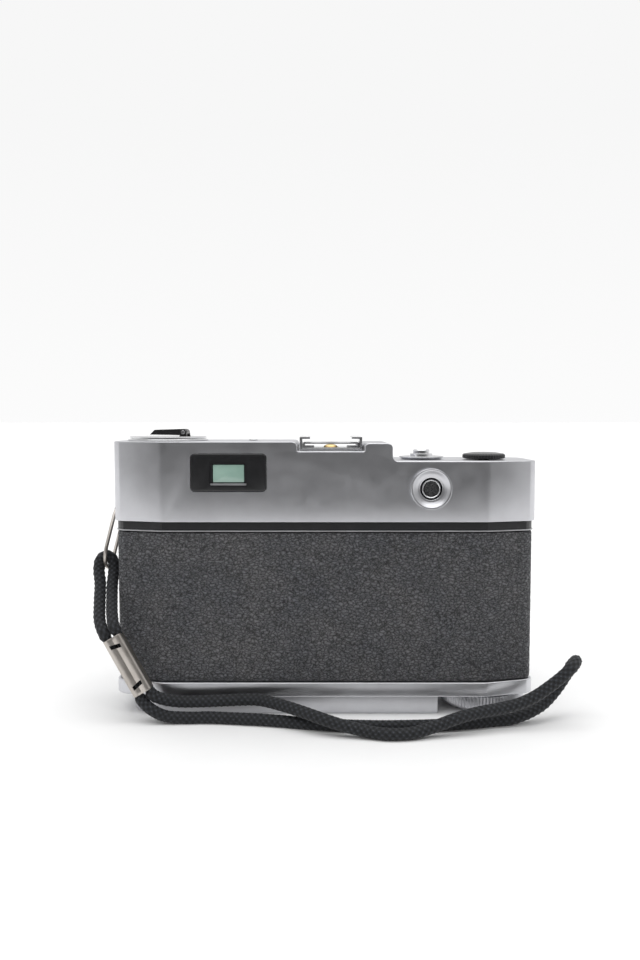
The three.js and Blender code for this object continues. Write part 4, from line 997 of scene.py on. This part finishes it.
def deck_controls():
    deck = RIGHT_DECK
    at = Place("shutter_button").at
    collar_line = [
        (3.1, 0.1), (6.6, 0.1), (7.4, 0.75), (7.4, 1.0), (7, 1.06), (5.6, 0.5), (3.9, 0.45),
        (3.7, 1.9), (3.1, 1.9), (3.1, 0.1),
    ]
    collar = lathe("release_collar", at, raised(collar_line, deck), "Z", 0.12)
    finished(collar, POLISHED, "camera", "shutter_collar")
    stem = [
        (0, 72), (1.6, 72), (1.6, 78), (2.8, 78), (2.8, deck + 2.9), (2.5, deck + 3.3),
        (1.6, deck + 3.3), (1.1, deck), (0, deck),
    ]
    finished(lathe("release_button", at, stem, "Z", 0.15, 64), POLISHED, "shutter_button", "shutter_button")
    at = Place("counter_knob").at
    knob = [
        (0, 78), (1.8, 78), (1.8, deck + 0.3), (6.4, deck + 0.3), (7, deck + 0.55),
        (7, deck + 1.55), (6.5, deck + 1.95), (4, deck + 2.35), (0, deck + 2.5),
    ]
    made = lathe("counter_dial", at, knob, "Z", 0.15, teeth=48, depth=0.18, grip=6.6)
    finished(made, PLASTIC, "counter_knob", "counter_knob")
    at = Place("deck_screw").at
    head = [(0, 0.05), (1.5, 0.05), (1.5, 0.35), (1.2, 0.5), (0, 0.5)]
    made = lathe("cover_screw", at, raised(head, LEFT_DECK), "Z", 0.1, 48)
    slot = (at[0] - 2, at[0] + 2, at[1] - 0.2, at[1] + 0.2, LEFT_DECK + 0.25, LEFT_DECK + 1)
    cut(made, block("driver_slot", *slot))
    finished(made, POLISHED, "camera", "deck_screw")


def shoe():
    """Accessory shoe, its sprung plate and the contact."""
    rails, spring = Place("accessory_shoe"), Place("shoe_spring")
    contact = Place("shoe_contact")
    x, y = rails.x, contact.y
    inner, lip = 9.4, 2.6
    floor, top = rails.z0, rails.z1
    half = [
        (rails.x1 - x, floor), (rails.x1 - x, top), (inner - lip, top), (inner - lip, top - 0.8),
        (inner, top - 0.8), (inner, floor + 0.7),
    ]
    made = rounded_edges(pulled("shoe_rails", mirrored(x, half), rails.y0, rails.y1, "Y"), 0.18, 3)
    cut(made, bar("contact_hole", (x, y), 3, floor - 1, top + 1))
    finished(made, POLISHED, "camera", "accessory_shoe")
    reach, low, high = spring.x1 - x, spring.z0, spring.z1
    half = [
        (reach, high), (reach, low), (reach - 3.6, low), (reach - 3.6, low + 0.35),
        (reach - 0.5, low + 0.35), (reach - 0.5, high - 0.4),
    ]
    made = rounded_edges(pulled("shoe_plate", mirrored(x, half), spring.y0, spring.y1, "Y"), 0.12, 3)
    cut(made, bar("contact_hole", (x, y), 3, low - 1, high + 1))
    finished(made, STEEL, "camera", "shoe_spring")
    dome = raised([(0, 0), (2.5, 0), (2.5, 0.8), (1.9, 1.45), (1, 1.75), (0, 1.8)], contact.z0)
    finished(lathe("hot_contact", (x, y), dome, "Z", 0.2, 48), BRASS, "camera", "shoe_contact")


# --- underside
THREADS = 11
THREAD_PITCH = 0.58


def underside():
    """Wind wheel, tripod bush, battery cover and rewind-release button."""
    wheel = Place("wind_wheel")
    crest = (wheel.x1 - wheel.x0) / 2
    low, high = wheel.z0, wheel.z1
    rim = [
        (0, low), (crest - 2, low), (crest - 0.3, low + 1.2), (crest, low + 1.75),
        (crest, high - 0.25), (crest - 0.3, high), (0, high),
    ]
    made = lathe("advance_wheel", wheel.at, rim, "Z", 0.12, teeth=80, depth=0.42, grip=crest - 0.9)
    finished(made, SATIN, "wind_wheel", "wind_wheel")
    socket = [(3.2, 0.2), (7.2, 0.2), (7.2, 1.4), (6, 1.6), (6, 8.5), (0, 8.5), (0, 7.2), (3.2, 7.2)]
    threads = []
    for k in range(THREADS):
        threads += [(3.2, 6.9 - k * THREAD_PITCH), (3.0, 6.6 - k * THREAD_PITCH)]
    line = socket + threads + [(3.2, 0.2)]
    made = lathe("screw_socket", Place("tripod_bush").at, line, "Z", 0.06, 64)
    finished(made, STEEL, "camera", "tripod_bush")
    cap = Place("battery_cover")
    lid = [(0, 0.35), (8.9, 0.35), (9, 0.6), (9, 1.9), (7.8, 2.1), (7.8, 3), (0, 3)]
    made = lathe("battery_lid", cap.at, lid, "Z", 0.12, 96)
    cut(made, block("coin_slot", cap.x - 5.5, cap.x + 5.5, cap.y - 0.8, cap.y + 0.8, -1, 1.2))
    finished(made, ALUMINIUM, "battery_cover", "battery_cover")
    line = [(0, 0.5), (1.9, 0.5), (2.4, 0.9), (2.4, 3.2), (0, 3.2)]
    made = lathe("release_stud", Place("rewind_release_button").at, line, "Z", 0.15, 48)
    finished(made, STEEL, "rewind_release_button", "rewind_release_button")


# --- lens
DOME_RADIUS = 13.8
DOME_RISE = 3.5
DOME_TOP = 65
DOME_SWEEP = 36


def lens_piece(name, node, material, profile, radius=0.15, body="camera", **ridges):
    """A piece turned about the lens's axis; profile holds (radius, distance in front of REAR) pairs."""
    made = lathe(name, (0, LENS_Z), raised(profile, REAR), "Y", radius, 128, **ridges)
    finished(made, material, body, node)


def lens_ring(name, node, profile, radius, teeth, depth, grip):
    """A ridged ring that turns on a body of its own."""
    lens_piece(name, node, SATIN, profile, radius, node, teeth=teeth, depth=depth, grip=grip)


def dome_point(angle):
    """A point of the front glass's curve, from 0 degrees on the axis to DOME_SWEEP at the rim."""
    turn, sweep = math.radians(angle), math.radians(DOME_SWEEP)
    return (
        DOME_RADIUS * math.sin(turn) / math.sin(sweep),
        DOME_TOP - DOME_RISE * (1 - math.cos(turn)) / (1 - math.cos(sweep)),
    )


def lens():
    mount = [(19.4, 34.5), (23.6, 34.5), (23.6, 35.4), (23.1, 35.9), (19.4, 35.9), (19.4, 34.5)]
    lens_piece("mount_ring", "lens_mount_ring", POLISHED, mount)
    barrel = [
        (16.4, 30), (19, 30), (19, 36), (21.6, 37.2), (21.6, 63.6), (17.4, 63.6), (17.4, 52.2),
        (16.4, 52.2), (16.4, 30),
    ]
    lens_piece("barrel", "lens_barrel", PAINT, barrel)
    focus = [
        (22, 37.6), (24.6, 37.6), (25.2, 38.2), (25.2, 39.6), (26.6, 40.4), (26.8, 40.7),
        (26.8, 47.3), (26.6, 47.6), (22, 47.6), (22, 37.6),
    ]
    lens_ring("focus_grip", "focus_ring", focus, 0.12, 48, 0.7, 26)
    speed = [
        (22, 48), (24.8, 48), (24.8, 51.6), (25.9, 51.8), (26, 52), (26, 55), (25.9, 55.2),
        (22, 55.2), (22, 48),
    ]
    lens_ring("speed_grip", "shutter_speed_ring", speed, 0.1, 60, 0.4, 25.3)
    stop = [
        (22, 55.6), (23.8, 55.6), (23.8, 58.8), (24.5, 59), (24.6, 59.2), (24.6, 61.8), (24.5, 62),
        (22, 62), (22, 55.6),
    ]
    lens_ring("aperture_grip", "aperture_ring", stop, 0.1, 60, 0.35, 24)
    name_ring = [
        (16, 64), (22.6, 64), (23.4, 64.6), (23.4, 69.6), (23, 70), (21.8, 70), (21.75, 69.2),
        (21.5, 69), (21.75, 68.8), (21.5, 68.4), (21.75, 68), (21.5, 67.6), (21.6, 66.6),
        (18.6, 65.8), (16, 65.8), (16, 64),
    ]
    lens_piece("name_ring", "lens_front_bezel", PAINT, name_ring, 0.1)
    cell = [(14.2, 54), (17, 54), (17, 61), (15.6, 61), (15.6, 66.4), (14.2, 66.4), (14.2, 54)]
    lens_piece("front_cell", "lens_cell", PAINT, cell, body="lens_cell")
    dome = [dome_point(a) for a in range(0, DOME_SWEEP + 1, 4)]
    glass = [(0, 58), (13.8, 58.6)] + dome[::-1]
    lens_piece("front_glass", "front_element", LENS_GLASS, glass, 0.02, "lens_cell")
    glass = [(0, 31), (7, 31.6), (12.5, 33.4), (12.5, 36.5), (0, 36)]
    lens_piece("rear_glass", "rear_element", LENS_GLASS, glass)


# --- carried CAD nodes
CARRIED = {
    PAINT: ["body_casting", "back_door", "pressure_plate", "finder_tube", "shutter_unit", "rear_cell"],
    PLASTIC: ["take_up_spool"],
    STEEL: [
        "door_hinge_pin", "hinge_ear_lower", "hinge_ear_upper", "pressure_spring", "wind_shaft",
        "film_sprocket", "rewind_shaft", "release_spring", "release_bracket", "battery_cell",
    ],
    BRASS: ["rewind_bush"],
    POLISHED: ["strap_lug_left", "strap_lug_right"],
}
SOFTENED = {"back_door": 0.2, "pressure_plate": 0.2, "strap_lug_left": 0.15, "strap_lug_right": 0.15}


def carried_nodes():
    for material, names in CARRIED.items():
        for name in names:
            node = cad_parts[name]
            node.data.materials.clear()
            node.data.materials.append(material)
            if name in SOFTENED:
                node.modifiers.new("weld", "WELD").merge_threshold = 1e-6
                edges = node.modifiers.new("edges", "BEVEL")
                edges.width = SOFTENED[name] * MM
                edges.segments = 2
                edges.limit_method = "ANGLE"
                edges.angle_limit = math.radians(50)


# --- stage
FLOOR_NEAR = -270
FLOOR_FAR = 30000
FLOOR_HALF = 15000


def paper_floor():
    """Pale floor out to the horizon; its near edge keeps the upper half of the plating dark."""
    near = [(-FLOOR_HALF, FLOOR_NEAR, 0), (FLOOR_HALF, FLOOR_NEAR, 0)]
    far = [(FLOOR_HALF, FLOOR_FAR, 0), (-FLOOR_HALF, FLOOR_FAR, 0)]
    sheet = mesh_object("paper_floor", near + far, [[0, 1, 2, 3]])
    paper, tree, shader = blank_material("paper", (0.81, 0.81, 0.815), 0.9, Specular_IOR_Level=0.1)
    tinted(tree, shader, cloudy(tree, 0.05, 4), [(0.3, 0.8), (0.7, 0.815)])
    sheet.data.materials.append(paper)


def graded_light(tree, value, span, strengths, smooth=False):
    """White light from the background, its strength running from one to the other as value crosses span."""
    scale = tree.nodes.new("ShaderNodeMapRange")
    scale.inputs["From Min"].default_value, scale.inputs["From Max"].default_value = span
    scale.inputs["To Min"].default_value, scale.inputs["To Max"].default_value = strengths
    scale.interpolation_type = "SMOOTHSTEP" if smooth else "LINEAR"
    tree.links.new(value, scale.inputs["Value"])
    light = tree.nodes.new("ShaderNodeBackground")
    light.inputs["Color"].default_value = (1, 1, 1, 1)
    tree.links.new(scale.outputs["Result"], light.inputs["Strength"])
    return light.outputs["Background"]


def sky():
    """Light from all round that dims towards the viewer, where the room is dark."""
    world = bpy.data.worlds.new("studio")
    bpy.context.scene.world = world
    world.use_nodes = True
    tree = world.node_tree
    tree.nodes.clear()
    place = tree.nodes.new("ShaderNodeTexCoord")
    split = tree.nodes.new("ShaderNodeSeparateXYZ")
    tree.links.new(place.outputs["Generated"], split.inputs["Vector"])
    lit = graded_light(tree, split.outputs["Y"], (-1.0, 0.1), (0.12, 0.8), smooth=True)
    seen = graded_light(tree, split.outputs["Z"], (0.0, 0.3), (0.97, 0.93))
    path = tree.nodes.new("ShaderNodeLightPath")
    mix = tree.nodes.new("ShaderNodeMixShader")
    tree.links.new(path.outputs["Is Camera Ray"], mix.inputs["Fac"])
    tree.links.new(lit, mix.inputs[1])
    tree.links.new(seen, mix.inputs[2])
    out = tree.nodes.new("ShaderNodeOutputWorld")
    tree.links.new(mix.outputs["Shader"], out.inputs["Surface"])


def far_lamp(name, power, spread, tip, glossy):
    """A wide lamp at infinity; tip leans it back from straight overhead, in degrees about X."""
    data = bpy.data.lights.new(name, "SUN")
    data.energy = power
    data.angle = math.radians(spread)
    lamp = bpy.data.objects.new(name, data)
    lamp.rotation_euler = (math.radians(tip), 0, 0)
    lamp.visible_glossy = glossy
    bpy.context.scene.collection.objects.link(lamp)


def studio():
    paper_floor()
    sky()
    far_lamp("overhead", 1.8, 80, 8, True)
    far_lamp("fill", 1.05, 90, 50, False)
    bpy.context.scene.view_settings.view_transform = "Standard"


top_cover()
base_plate()
leather_sheet("back_leather", -1, "door_leather", "back_door")
leather_sheet("front_leather", 1, "front_covering", "camera", hole=21.6)
rail_bead()
eyepiece()
front_windows()
check_button()
rewind_controls()
deck_controls()
shoe()
underside()
lens()
carried_nodes()
studio()
